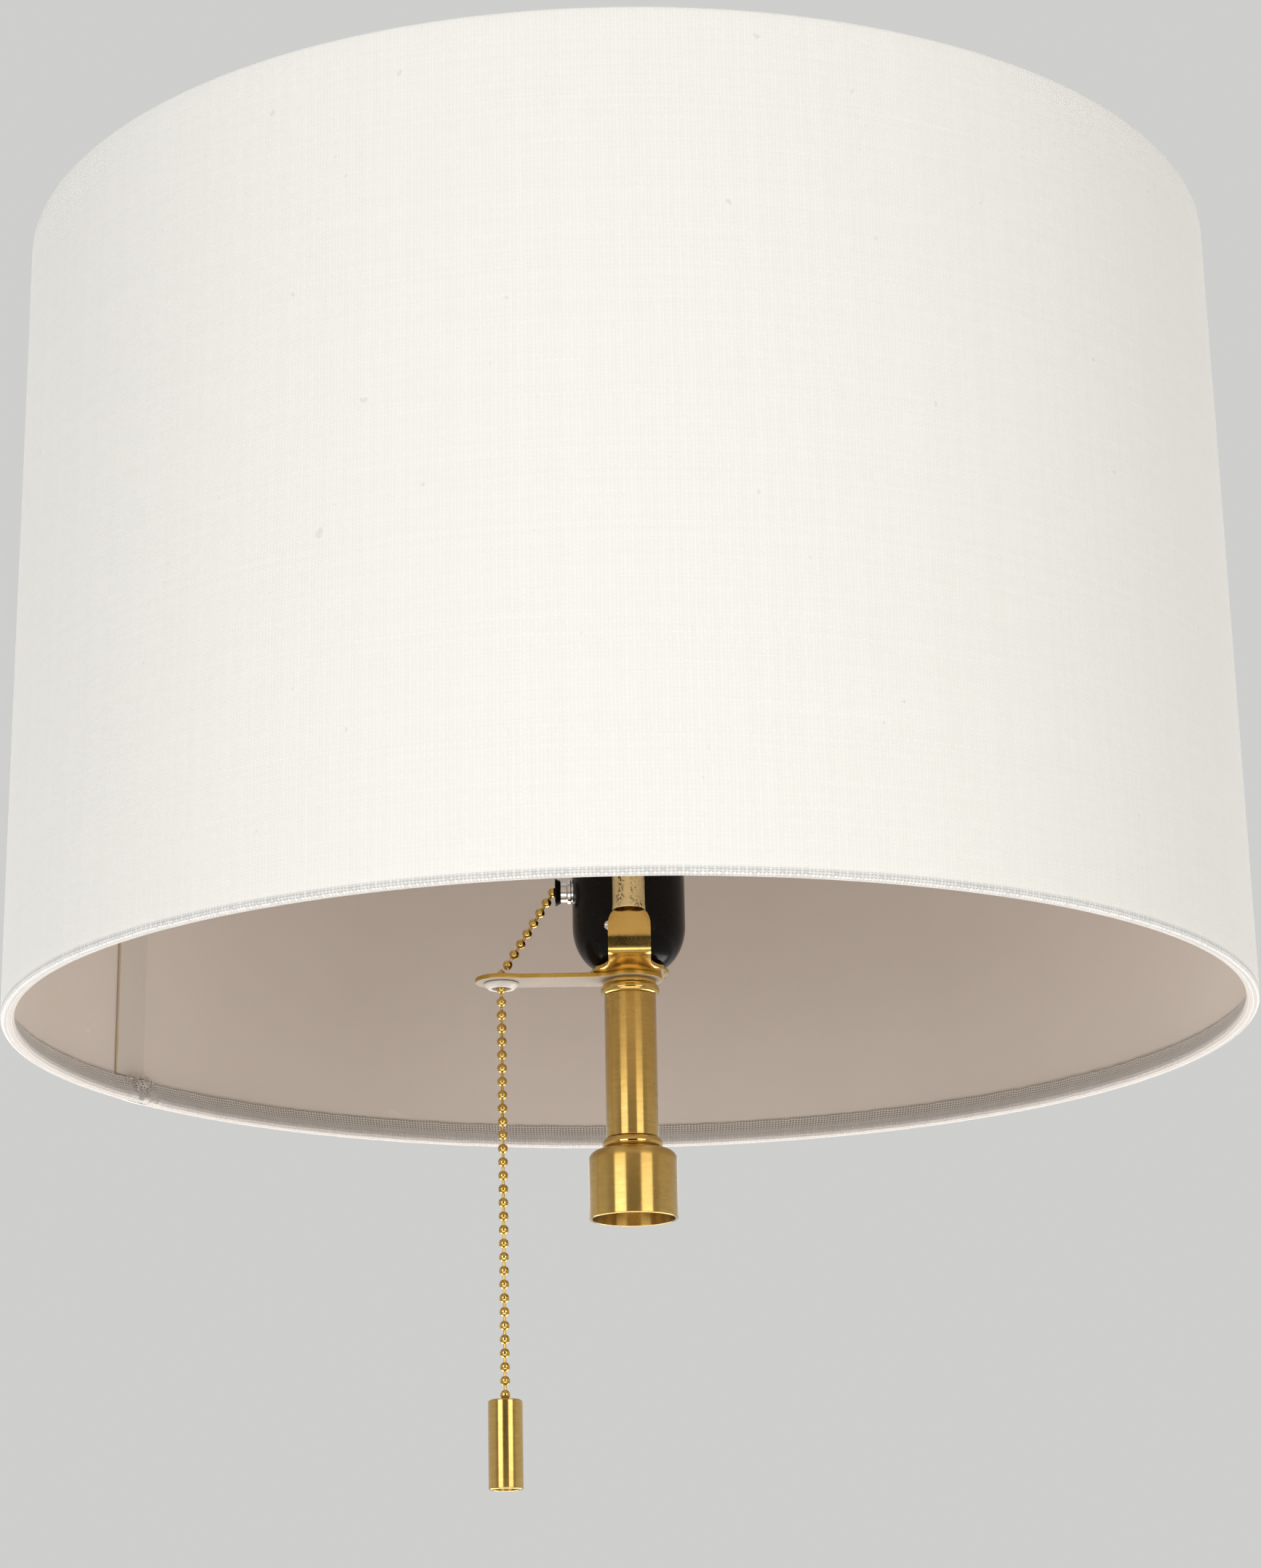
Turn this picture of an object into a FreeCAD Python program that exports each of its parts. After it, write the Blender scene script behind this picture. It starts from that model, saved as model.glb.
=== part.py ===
import FreeCAD, Part
import math
import os
import Sketcher

# Drum lamp shade on its harp, with the pull-chain lamp head that carries it.
# Millimetres, +Z up.  The origin is the middle of the collar's open lower end,
# where the lamp head is put over the pole of its stand.

doc = FreeCAD.newDocument("lamp_shade")
sheet = doc.addObject("Spreadsheet::Sheet", "Sizes")

SIZES = (
    # collar, rings and neck
    ("pole_dia", 25.4),
    ("pole_clearance", 0.5),
    ("collar_wall", 1.0),
    ("collar_height", 22.2),
    ("collar_shoulder", 4.0),
    ("collar_top", 1.6),
    ("collar_fillet", 2.5),
    ("pipe_dia", 10.0),
    ("pipe_bore", 7.4),
    ("pipe_clearance", 0.15),
    ("pipe_inset", 0.1),
    ("nut_flats", 14.0),
    ("nut_thick", 2.4),
    ("lower_ring_dia", 19.3),
    ("lower_ring_height", 4.0),
    ("neck_dia", 16.7),
    ("neck_wall", 0.9),
    ("neck_length", 46.6),
    ("upper_ring_dia", 18.9),
    ("upper_ring_bead", 3.4),
    ("upper_ring_height", 4.8),
    ("ring_spigot", 2.0),
    ("groove_dia", 17.0),
    # chain arm and its eyelet
    ("arm_thick", 1.5),
    ("arm_width", 14.0),
    ("arm_beyond_socket", 23.2),
    ("arm_tip_dia", 16.8),
    ("arm_eye_dia", 20.8),
    ("eyelet_dia", 11.6),
    ("eyelet_hole", 6.2),
    ("eyelet_neck", 8.2),
    ("eyelet_flange", 1.0),
    ("eyelet_play", 0.1),
    ("eyelet_tip", 0.9),
    ("eyelet_edge", 0.6),
    ("eyelet_inset", 1.0),
    # harp saddle, harp and ferrules
    ("saddle_dia", 25.6),
    ("saddle_thick", 1.5),
    ("saddle_width", 13.5),
    ("saddle_rise", 1.8),
    ("saddle_upright", 12.4),
    ("saddle_bend", 2.0),
    ("post_beyond_socket", 7.2),
    ("post_to_tongue", 0.3),
    ("tongue_width", 8.2),
    ("tongue_height", 14.0),
    ("ferrule_dia", 10.5),
    ("ferrule_wall", 0.4),
    ("ferrule_length", 20.0),
    ("ferrule_travel", 16.0),
    ("ferrule_rest", 0.05),
    ("harp_wire", 3.2),
    ("harp_gap", 0.45),
    ("harp_foot_gap", 0.3),
    ("harp_straight", 16.0),
    ("harp_height", 203.0),
    ("harp_width", 116.0),
    ("harp_shoulder_width", 62.0),
    ("stud_dia", 6.35),
    ("stud_flange_dia", 13.0),
    ("stud_flange", 1.5),
    ("stud_thread", 13.0),
    ("stud_skirt", 1.2),
    ("stud_fit", 0.02),
    ("thread_clearance", 0.05),
    # spider and shade
    ("hub_dia", 25.0),
    ("hub_thick", 2.4),
    ("hub_clearance", 0.1),
    ("spider_wire", 3.0),
    ("spider_drop", 19.0),
    ("spider_shoulder", 16.0),
    ("spider_bend", 10.0),
    ("weld_inset", 0.6),
    ("weld_drop", 0.7),
    ("slit_clearance", 0.15),
    ("shade_bottom_dia", 400.0),
    ("shade_taper", 10.0),
    ("shade_height", 260.0),
    ("cover_thick", 0.6),
    ("liner_thick", 0.5),
    ("glue_gap", 0.05),
    ("ring_wire", 2.6),
    ("hem_thick", 0.6),
    ("hem_turn", 8.0),
    ("hem_gap", 0.15),
    ("seam_width", 16.0),
    ("seam_end_gap", 0.5),
    ("seam_thick", 0.4),
    # finial
    ("finial_dia", 19.0),
    ("finial_foot_dia", 14.0),
    ("finial_foot", 2.2),
    ("finial_waist_dia", 8.6),
    ("finial_waist", 5.5),
    ("finial_slope", 0.8),
    ("finial_bore_end", 0.4),
    ("finial_bore_tip", 1.0),
    # lampholder
    ("socket_dia", 36.4),
    ("socket_wall", 2.0),
    ("dome_height", 15.0),
    ("dome_foot_dia", 13.0),
    ("cap_floor", 8.0),
    ("cap_corner", 4.0),
    ("cap_height", 38.0),
    ("shell_height", 24.0),
    ("shell_overlap", 4.0),
    ("shell_fit", 0.15),
    ("shell_edge", 1.2),
    ("core_thick", 7.0),
    ("core_flange", 2.0),
    ("terminal_dia", 3.0),
    ("terminal_length", 4.0),
    ("terminal_head", 2.0),
    ("terminal_ahead", 9.0),
    ("terminal_aside", 7.0),
    ("contact_width", 6.0),
    ("bulb_thread_dia", 26.6),
    ("screw_shell_wall", 0.4),
    ("screw_shell_height", 20.5),
    ("screw_shell_roll", 0.8),
    ("contact_thick", 0.6),
    ("contact_lift", 3.0),
    ("contact_back", 4.0),
    ("contact_front", 2.0),
    ("contact_nose", 1.4),
    ("contact_step", 1.0),
    ("contact_room", 0.5),
    ("set_screw_dia", 3.0),
    ("set_screw_height", 11.5),
    ("set_screw_sink", 1.2),
    # chain outlet and switch lever
    ("spout_height", 26.9),
    ("spout_dia", 7.0),
    ("spout_wall", 0.6),
    ("spout_length", 3.7),
    ("spout_flange", 0.9),
    ("spout_flange_thick", 0.8),
    ("bell_mouth_dia", 9.0),
    ("bell_mouth_length", 1.8),
    ("bell_mouth_lip", 0.5),
    ("pin_dia", 2.0),
    ("pin_clearance", 0.05),
    ("pin_tail", 1.0),
    ("lever_radius", 12.0),
    ("lever_thick", 3.0),
    ("lever_width", 4.4),
    ("lever_bar", 2.2),
    ("lever_play", 0.3),
    ("yoke_thick", 1.0),
    ("yoke_width", 5.0),
    ("spring_length", 3.0),
    ("spring_wire", 0.4),
    ("spring_gap", 0.7),
    # bead chain and pull
    ("bead_dia", 3.2),
    ("link_dia", 0.9),
    ("bead_pitch", 4.36),
    ("mouth_stand", 0.7),
    ("hook_gap", 0.39),
    ("eyelet_bead_rise", 1.8),
    ("slack_pitch", 4.02),
    ("hanging_beads", 29.0),
    ("upper_beads", 7.0),
    ("inner_beads", 5.0),
    ("pull_dia", 11.0),
    ("pull_length", 28.0),
    ("pull_wall", 1.3),
    ("pull_top", 1.0),
    ("pull_hole", 2.2),
    ("pull_gap", 0.1),
    ("pull_edge", 0.3),
)


class Size:
    """A number and the sheet expression that it comes from."""

    def __init__(self, value, text):
        self.value = value
        self.text = text

    def __add__(self, other):
        other = as_size(other)
        return Size(self.value + other.value, f"({self.text} + {other.text})")

    def __sub__(self, other):
        other = as_size(other)
        return Size(self.value - other.value, f"({self.text} - {other.text})")

    def __mul__(self, other):
        other = as_size(other)
        return Size(self.value * other.value, f"({self.text} * {other.text})")

    def __truediv__(self, other):
        other = as_size(other)
        return Size(self.value / other.value, f"({self.text} / {other.text})")

    def __neg__(self):
        return Size(-self.value, f"(0 - {self.text})")

    def __radd__(self, other):
        return as_size(other) + self

    def __rsub__(self, other):
        return as_size(other) - self

    def __rmul__(self, other):
        return as_size(other) * self


def as_size(number):
    return number if isinstance(number, Size) else Size(float(number), repr(float(number)))


def fill_sheet():
    sizes = {}
    for row, (alias, value) in enumerate(SIZES, start=1):
        sheet.set(f"A{row}", alias)
        sheet.set(f"B{row}", str(value))
        sheet.setAlias(f"B{row}", alias)
        sizes[alias] = Size(value, f"{sheet.Name}.{alias}")
    doc.recompute()
    return sizes


S = fill_sheet()
ZERO = as_size(0)
SCREW_TURN = math.radians(21)
LEVER_LEAN = 19
DOME_STEPS = 9
HEM_STEPS = 3
SPRING_COILS = 5
HARP_BENDS = (30, 60, 55, 18)
HARP_BELLY = (0.24, 0.66)
SPIDER_TURNS = (90, 210, 330)
SEAM_TURN = 148.7
pieces = {}


def bind(thing, prop, size):
    """Ties one property to the sheet."""
    thing.setExpression(prop, as_size(size).text)


def place(thing, x=0, y=0, z=0):
    """Puts a piece where the sheet says, without turning it."""
    for axis, size in zip("xyz", (x, y, z)):
        bind(thing, f"Placement.Base.{axis}", size)


def piece(label, thing):
    """Names a finished piece and lists it for export."""
    thing.Label = label
    pieces[label] = thing
    return thing


def cylinder(radius, height, x=0, y=0, z=0):
    body = doc.addObject("Part::Cylinder", "Round")
    bind(body, "Radius", radius)
    bind(body, "Height", height)
    place(body, x, y, z)
    return body


def box(length, width, height, x=0, y=0, z=0):
    """A block centred on x and y, standing on z."""
    body = doc.addObject("Part::Box", "Block")
    bind(body, "Length", length)
    bind(body, "Width", width)
    bind(body, "Height", height)
    place(body, x - length / 2, y - width / 2, z)
    return body


def lying_cylinder(radius, length, x, y, z, direction):
    """A round bar that starts at x, y, z and runs along a fixed direction."""
    body = cylinder(radius, length, x, y, z)
    turn = FreeCAD.Rotation(FreeCAD.Vector(0, 0, 1), FreeCAD.Vector(*direction))
    body.Placement = FreeCAD.Placement(body.Placement.Base, turn)
    return body


def ball(radius, x, y, z):
    body = doc.addObject("Part::Sphere", "Ball")
    bind(body, "Radius", radius)
    place(body, x, y, z)
    return body


def cone(radius_low, radius_high, height, z):
    body = doc.addObject("Part::Cone", "Taper")
    bind(body, "Radius1", radius_low)
    bind(body, "Radius2", radius_high)
    bind(body, "Height", height)
    place(body, 0, 0, z)
    return body


def cut(base, *tools):
    for tool in tools:
        result = doc.addObject("Part::Cut", "Cut")
        result.Base = base
        result.Tool = tool
        base = result
    return base


def fuse(*parts):
    result = doc.addObject("Part::MultiFuse", "Union")
    result.Shapes = list(parts)
    return result


def group(*parts):
    result = doc.addObject("Part::Compound", "Group")
    result.Links = list(parts)
    return result


def plane_of(body, role):
    return next(feature for feature in body.Origin.OriginFeatures if feature.Role == role)


def draw_outline(sketch, corners):
    """Closed outline from corners (u, v) or (u, v, radius).

    A radius makes the edge that leaves its corner an arc: positive bulges to
    the right of the way the outline runs, negative to the left.
    """
    points = [FreeCAD.Vector(as_size(c[0]).value, as_size(c[1]).value, 0) for c in corners]
    ends = []
    for index, corner in enumerate(corners):
        start = points[index]
        end = points[(index + 1) % len(points)]
        if len(corner) == 2:
            edge = sketch.addGeometry(Part.LineSegment(start, end), False)
            ends.append((edge, 1, 2))
            continue
        chord = end - start
        radius = corner[2].value
        side = 1 if radius > 0 else -1
        to_right = FreeCAD.Vector(chord.y, -chord.x, 0) * (side / chord.Length)
        depth = math.sqrt(max(radius * radius - chord.Length ** 2 / 4, 0))
        middle = (start + end) * 0.5
        centre = middle - to_right * depth
        circle = Part.Circle(centre, FreeCAD.Vector(0, 0, 1), abs(radius))
        first, last = (start, end) if side > 0 else (end, start)
        angle_first = math.atan2(first.y - centre.y, first.x - centre.x)
        angle_last = math.atan2(last.y - centre.y, last.x - centre.x)
        if angle_last < angle_first:
            angle_last += 2 * math.pi
        edge = sketch.addGeometry(Part.ArcOfCircle(circle, angle_first, angle_last), False)
        ends.append((edge, 1, 2) if side > 0 else (edge, 2, 1))
    for index, corner in enumerate(corners):
        edge, start, _ = ends[index]
        before, _, before_end = ends[index - 1]
        sketch.addConstraint(Sketcher.Constraint("Coincident", before, before_end, edge, start))
        for kind, axis, size in (("DistanceX", -2, corner[0]), ("DistanceY", -1, corner[1])):
            size = as_size(size)
            if size.value == 0:
                sketch.addConstraint(Sketcher.Constraint("PointOnObject", edge, start, axis))
                continue
            rule = sketch.addConstraint(
                Sketcher.Constraint(kind, -1, 1, edge, start, size.value))
            bind(sketch, f"Constraints[{rule}]", size)
        if len(corner) == 3:
            size = corner[2] if corner[2].value > 0 else -corner[2]
            rule = sketch.addConstraint(Sketcher.Constraint("Radius", edge, size.value))
            bind(sketch, f"Constraints[{rule}]", size)


def sketched(label, role, corners):
    body = doc.addObject("PartDesign::Body", label + "_body")
    sketch = body.newObject("Sketcher::SketchObject", label + "_outline")
    sketch.AttachmentSupport = [(plane_of(body, role), "")]
    sketch.MapMode = "FlatFace"
    draw_outline(sketch, corners)
    return body, sketch


def turned(label, corners, z=0, angle=360):
    """A body of revolution about Z from an outline in radius and height."""
    body, sketch = sketched(label, "XZ_Plane", corners)
    spin = body.newObject("PartDesign::Revolution", label + "_turn")
    spin.Profile = sketch
    spin.ReferenceAxis = (sketch, ["V_Axis"])
    bind(spin, "Angle", angle)
    sketch.Visibility = False
    place(body, 0, 0, z)
    return body


def extruded(label, role, corners, width):
    """A flat outline padded to both sides of its plane."""
    body, sketch = sketched(label, role, corners)
    pad = body.newObject("PartDesign::Pad", label + "_pad")
    pad.Profile = sketch
    bind(pad, "Length", width)
    pad.Midplane = True
    return body


def bent_wire(points, bends, radius):
    """Round wire along straight runs joined by tangent arcs."""
    edges = []
    start = points[0]
    for before, corner, after, bend in zip(points, points[1:], points[2:], bends):
        back = (before - corner).normalize()
        ahead = (after - corner).normalize()
        half_turn = (math.pi - back.getAngle(ahead)) / 2
        setback = bend * math.tan(half_turn)
        centre_way = (back + ahead).normalize()
        centre = corner + centre_way * (bend / math.cos(half_turn))
        arc_start = corner + back * setback
        arc_end = corner + ahead * setback
        arc_middle = centre - centre_way * bend
        edges.append(Part.LineSegment(start, arc_start).toShape())
        edges.append(Part.Arc(arc_start, arc_middle, arc_end).toShape())
        start = arc_end
    edges.append(Part.LineSegment(start, points[-1]).toShape())
    path = Part.Wire(edges)
    section = Part.Wire(Part.Circle(points[0], points[1] - points[0], radius).toShape())
    return path.makePipeShell([section], True, True)


def shaped(label, shape):
    """A piece whose shape the script works out from the sheet's values."""
    feature = doc.addObject("Part::Feature", label)
    feature.Shape = shape
    return feature


def value(alias):
    return float(sheet.get(alias))


# Heights, each the sum of what lies under it.
collar_radius = S["pole_dia"] / 2 + S["pole_clearance"] + S["collar_wall"]
bore_radius = S["pole_dia"] / 2 + S["pole_clearance"]
pipe_hole = S["pipe_dia"] / 2 + S["pipe_clearance"]
lower_ring_z = S["collar_height"]
nut_z = S["collar_height"] - S["collar_top"] - S["nut_thick"]
neck_z = lower_ring_z + S["lower_ring_height"]
upper_ring_z = neck_z + S["neck_length"]
arm_z = upper_ring_z + S["upper_ring_height"]
saddle_z = arm_z + S["arm_thick"]
socket_z = saddle_z + S["saddle_thick"]
post_z = socket_z + S["saddle_rise"] + S["saddle_upright"]
harp_top_z = post_z + S["harp_height"]
hub_z = harp_top_z + S["stud_flange"]
shade_top_z = hub_z + S["hub_thick"] + S["spider_drop"]
shade_z = shade_top_z - S["shade_height"]
spout_z = socket_z + S["spout_height"]
pin_z = spout_z - S["lever_radius"] * math.cos(math.radians(LEVER_LEAN))
core_top_z = socket_z + S["cap_height"] + S["core_flange"]
core_z = core_top_z - S["core_thick"]
rabbet_radius = S["socket_dia"] / 2 - S["socket_wall"] / 2
post_offset = S["socket_dia"] / 2 + S["post_beyond_socket"]
arm_reach = S["socket_dia"] / 2 + S["arm_beyond_socket"]
eyelet_bead_z = arm_z + S["arm_thick"] / 2 + S["eyelet_bead_rise"]
shade_top_dia = S["shade_bottom_dia"] - S["shade_taper"]


def make_collar():
    top = S["collar_height"]
    inside = top - S["collar_top"]
    shoulder = S["collar_shoulder"]
    fillet = S["collar_fillet"]
    corners = [
        (bore_radius, ZERO),
        (collar_radius, ZERO),
        (collar_radius, top - shoulder, shoulder),
        (collar_radius - shoulder, top),
        (pipe_hole, top),
        (pipe_hole, inside),
        (bore_radius - fillet, inside, -fillet),
        (bore_radius, inside - fillet),
    ]
    piece("stand_collar", turned("stand_collar", corners))


def make_pipe_and_nut():
    start = nut_z + S["pipe_inset"]
    length = socket_z + S["cap_floor"] - start
    pipe = cylinder(S["pipe_dia"] / 2, length, z=start)
    hole = cylinder(S["pipe_bore"] / 2, length, z=start)
    piece("lamp_pipe", cut(pipe, hole))
    nut = doc.addObject("Part::Prism", "Hexagon")
    nut.Polygon = 6
    bind(nut, "Circumradius", S["nut_flats"] / 2 / math.cos(math.pi / 6))
    bind(nut, "Height", S["nut_thick"])
    place(nut, 0, 0, nut_z)
    bore = cylinder(pipe_hole, S["nut_thick"], z=nut_z)
    piece("collar_nut", cut(nut, bore))


def make_rings_and_neck():
    wall_radius = S["neck_dia"] / 2 - S["neck_wall"]
    spigot_radius = wall_radius - S["pipe_clearance"]
    bulge = S["lower_ring_height"] * 0.4
    lower = [
        (pipe_hole, ZERO),
        (S["lower_ring_dia"] / 2 - bulge, ZERO, bulge * 1.281),
        (S["lower_ring_dia"] / 2 - bulge, S["lower_ring_height"]),
        (spigot_radius, S["lower_ring_height"]),
        (spigot_radius, S["lower_ring_height"] + S["ring_spigot"]),
        (pipe_hole, S["lower_ring_height"] + S["ring_spigot"]),
    ]
    piece("lower_ring", turned("lower_ring", lower, z=lower_ring_z))
    outside = cylinder(S["neck_dia"] / 2, S["neck_length"], z=neck_z)
    inside = cylinder(wall_radius, S["neck_length"], z=neck_z)
    piece("neck_tube", cut(outside, inside))
    bead = S["upper_ring_bead"]
    upper = [
        (pipe_hole, -S["ring_spigot"]),
        (spigot_radius, -S["ring_spigot"]),
        (spigot_radius, ZERO),
        (S["upper_ring_dia"] / 2 - bead * 0.4, ZERO, bead * 0.5125),
        (S["upper_ring_dia"] / 2 - bead * 0.4, bead),
        (S["groove_dia"] / 2, bead),
        (S["groove_dia"] / 2, S["upper_ring_height"]),
        (pipe_hole, S["upper_ring_height"]),
    ]
    piece("upper_ring", turned("upper_ring", upper, z=upper_ring_z))


def make_arm_and_eyelet():
    reach = arm_reach
    thick = S["arm_thick"]
    strip = box(reach, S["arm_width"], thick, x=-reach / 2, z=arm_z)
    tip = cylinder(S["arm_tip_dia"] / 2, thick, x=-reach, z=arm_z)
    eye = cylinder(S["arm_eye_dia"] / 2, thick, z=arm_z)
    plate = fuse(strip, tip, eye)
    pipe_way = cylinder(pipe_hole, thick, z=arm_z)
    eyelet_way = cylinder(S["eyelet_neck"] / 2, thick, x=-reach, z=arm_z)
    piece("chain_arm", cut(plate, pipe_way, eyelet_way))
    flange = S["eyelet_flange"]
    play = S["eyelet_play"]
    neck = S["eyelet_neck"] / 2 - play
    hole = S["eyelet_hole"] / 2
    rim = S["eyelet_dia"] / 2
    over = thick + play
    edge = S["eyelet_edge"]
    under = -flange - play
    upper_rim = rim - S["eyelet_inset"]
    corners = [
        (hole, under - S["eyelet_tip"]),
        (hole + edge, under - S["eyelet_tip"]),
        (rim, under),
        (rim, -play),
        (neck, -play),
        (neck, over),
        (upper_rim, over),
        (upper_rim, over + edge),
        (hole + edge, over + flange),
        (hole, over + flange),
    ]
    body = turned("arm_eyelet", corners)
    place(body, -reach, 0, arm_z)
    piece("arm_eyelet", body)


def make_saddle():
    thick = S["saddle_thick"]
    inner = post_offset + S["post_to_tongue"]
    outer = inner + thick
    bend = S["saddle_bend"]
    rise = S["saddle_rise"]
    flat = S["saddle_dia"] / 2
    top = post_z - saddle_z
    half = [
        (ZERO, ZERO),
        (flat, ZERO),
        (outer - bend, rise),
        (outer, rise + bend),
        (outer, top),
        (inner, top),
        (inner, rise + bend + thick * 0.4),
        (inner - bend + thick * 0.6, rise + thick),
        (flat - thick * 0.2, thick),
        (ZERO, thick),
    ]
    mirrored = [(-u, v) for u, v in reversed(half[1:-1])]
    corners = half + mirrored
    strap = extruded("saddle_strap", "YZ_Plane", corners, S["saddle_width"])
    place(strap, 0, 0, saddle_z)
    disc = cylinder(S["saddle_dia"] / 2, thick, z=saddle_z)
    parts = [strap, disc]
    for side in (-1, 1):
        middle = (inner + thick / 2) * side
        parts.append(box(S["tongue_width"], thick, S["tongue_height"], y=middle, z=post_z))
    whole = fuse(*parts)
    piece("harp_saddle", cut(whole, cylinder(pipe_hole, thick, z=saddle_z)))


def make_ferrules():
    outer = S["ferrule_dia"] / 2
    inner = outer - S["ferrule_wall"]
    foot_z = post_z + S["ferrule_rest"]
    for label, side in (("ferrule_front", -1), ("ferrule_back", 1)):
        y = post_offset * side
        tube = cylinder(outer, S["ferrule_length"], y=y, z=foot_z)
        bore = cylinder(inner, S["ferrule_length"], y=y, z=foot_z)
        piece(label, cut(tube, bore))


def make_harp():
    wire = value("harp_wire")
    leg = (post_offset + S["post_to_tongue"] - S["harp_gap"] - S["harp_wire"] / 2).value
    foot = (post_z + S["harp_foot_gap"]).value
    top = harp_top_z.value - wire / 2
    straight = (post_z + S["ferrule_length"] + S["ferrule_travel"] + S["harp_straight"]).value
    wide = value("harp_width") / 2 - wire / 2
    shoulder = value("harp_shoulder_width") / 2
    belly_low, belly_high = (straight + share * (top - straight) for share in HARP_BELLY)
    right = [
        (leg, foot),
        (leg, straight),
        (wide, belly_low),
        (wide, belly_high),
        (shoulder, top),
    ]
    left = [(-y, z) for y, z in reversed(right)]
    route = [FreeCAD.Vector(0, y, z) for y, z in right + left]
    bends = HARP_BENDS + HARP_BENDS[::-1]
    piece("harp_bow", shaped("harp_bow", bent_wire(route, bends, wire / 2)))
    flange = S["stud_flange_dia"] / 2
    below = S["harp_wire"] + S["stud_skirt"]
    foot_z = harp_top_z - below
    block = cylinder(flange, below + S["stud_flange"], z=foot_z)
    thread_length = S["hub_thick"] + S["stud_thread"]
    thread = cylinder(S["stud_dia"] / 2, thread_length, z=hub_z)
    wire_way = lying_cylinder(S["harp_wire"] / 2 + S["stud_fit"], flange * 4, ZERO,
                              -flange * 2, harp_top_z - S["harp_wire"] / 2, (0, 1, 0))
    piece("harp_stud", cut(fuse(block, thread), wire_way))


def spider_wire(degrees, radius):
    """One arm's wire, from the hub out and up to the middle of the top ring."""
    ring_reach, ring_height = top_ring_place()
    low = hub_z.value + value("hub_thick") / 2
    start = value("hub_dia") / 2
    shoulder = ring_reach.value - value("spider_shoulder")
    turn = FreeCAD.Rotation(FreeCAD.Vector(0, 0, 1), degrees)
    end = (ring_reach.value - value("weld_inset"), ring_height.value - value("weld_drop"))
    route = [(start, low), (shoulder, low), end]
    points = [turn.multVec(FreeCAD.Vector(u, 0, v)) for u, v in route]
    return shaped("spider_wire", bent_wire(points, [value("spider_bend")], radius))


def make_spider():
    hub_radius = S["hub_dia"] / 2
    disc = cylinder(hub_radius, S["hub_thick"], z=hub_z)
    way = cylinder(S["stud_dia"] / 2 + S["hub_clearance"], S["hub_thick"], z=hub_z)
    piece("spider_hub", cut(disc, way))
    for number, degrees in enumerate(SPIDER_TURNS, start=1):
        wire = spider_wire(degrees, value("spider_wire") / 2)
        piece(f"spider_arm_{number}", cut(wire, pieces["top_ring"]))


def liner_inside(height):
    """Radius of the liner's inner face at a height above the lower edge."""
    slope = -S["shade_taper"] / 2 / S["shade_height"]
    skin = S["cover_thick"] + S["glue_gap"] + S["liner_thick"]
    return S["shade_bottom_dia"] / 2 - skin + slope * height


def bottom_ring_place():
    height = S["hem_thick"] + S["glue_gap"] + S["ring_wire"] / 2
    return liner_inside(height) - S["glue_gap"] - S["ring_wire"] / 2, shade_z + height


def top_ring_place():
    down = S["hem_thick"] + S["glue_gap"] + S["ring_wire"] / 2
    reach = liner_inside(S["shade_height"]) - S["glue_gap"] - S["ring_wire"] / 2
    return reach, shade_top_z - down


def tapered_shell(radius_low, radius_high, thick, height, z):
    outside = cone(radius_low, radius_high, height, z)
    inside = cone(radius_low - thick, radius_high - thick, height, z)
    return cut(outside, inside)


def make_cover_and_liner():
    low = S["shade_bottom_dia"] / 2
    high = shade_top_dia / 2
    cover = tapered_shell(low, high, S["cover_thick"], S["shade_height"], shade_z)
    piece("shade_cover", cover)
    inset = S["cover_thick"] + S["glue_gap"]
    end = S["hem_thick"] + S["glue_gap"]
    slope = (low - high) / S["shade_height"]
    liner = tapered_shell(low - inset - slope * end, high - inset + slope * end,
                          S["liner_thick"], S["shade_height"] - end * 2, shade_z + end)
    piece("shade_liner", liner)


def make_shade_rings():
    for label, (reach, height) in (
        ("bottom_ring", bottom_ring_place()),
        ("top_ring", top_ring_place()),
    ):
        ring = doc.addObject("Part::Torus", "Ring")
        bind(ring, "Radius1", reach)
        bind(ring, "Radius2", S["ring_wire"] / 2)
        place(ring, 0, 0, height)
        piece(label, ring)


def hem_corners(ring_radius, face):
    """Hem outline: under the ring, round it and up the liner to its cut edge."""
    cloth = S["hem_thick"]
    hug = S["ring_wire"] / 2 + S["glue_gap"]
    wrap = hug + cloth
    middle = cloth + hug
    stuck = face - S["hem_gap"]
    under_edge = liner_inside(ZERO) + S["liner_thick"] / 2
    turns = [math.radians(135 * step / (HEM_STEPS * 3)) for step in range(HEM_STEPS * 3 + 1)]
    inner = [(ring_radius - hug * math.sin(turn), middle - hug * math.cos(turn))
             for turn in turns]
    outer = [(ring_radius - wrap * math.sin(turn), middle - wrap * math.cos(turn))
             for turn in turns]
    inner_top = inner[-1][1] + (stuck - inner[-1][0])
    outer_top = outer[-1][1] + (stuck - cloth - outer[-1][0])
    up = [(stuck, inner_top), (stuck, S["hem_turn"])]
    down = [(stuck - cloth, S["hem_turn"]), (stuck - cloth, outer_top)]
    return [(under_edge, ZERO), (under_edge, cloth)] + inner + up + down + outer[::-1]


def upside_down(corners, shift):
    """The same outline mirrored in height, still run the same way round."""
    return [(u + shift, -v) for u, v in reversed(corners)]


def make_hems():
    ring_radius = bottom_ring_place()[0]
    lower = hem_corners(ring_radius, liner_inside(S["hem_turn"]))
    piece("bottom_hem", turned("bottom_hem", lower, z=shade_z))
    taper = liner_inside(S["shade_height"]) - liner_inside(ZERO)
    ring_radius = top_ring_place()[0] - taper
    upper = upside_down(hem_corners(ring_radius, liner_inside(ZERO)), taper)
    whole = turned("top_hem_cloth", upper, z=shade_top_z)
    slit = value("spider_wire") / 2 + value("slit_clearance")
    slits = [spider_wire(degrees, slit) for degrees in SPIDER_TURNS]
    piece("top_hem", cut(whole, *slits))


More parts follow.
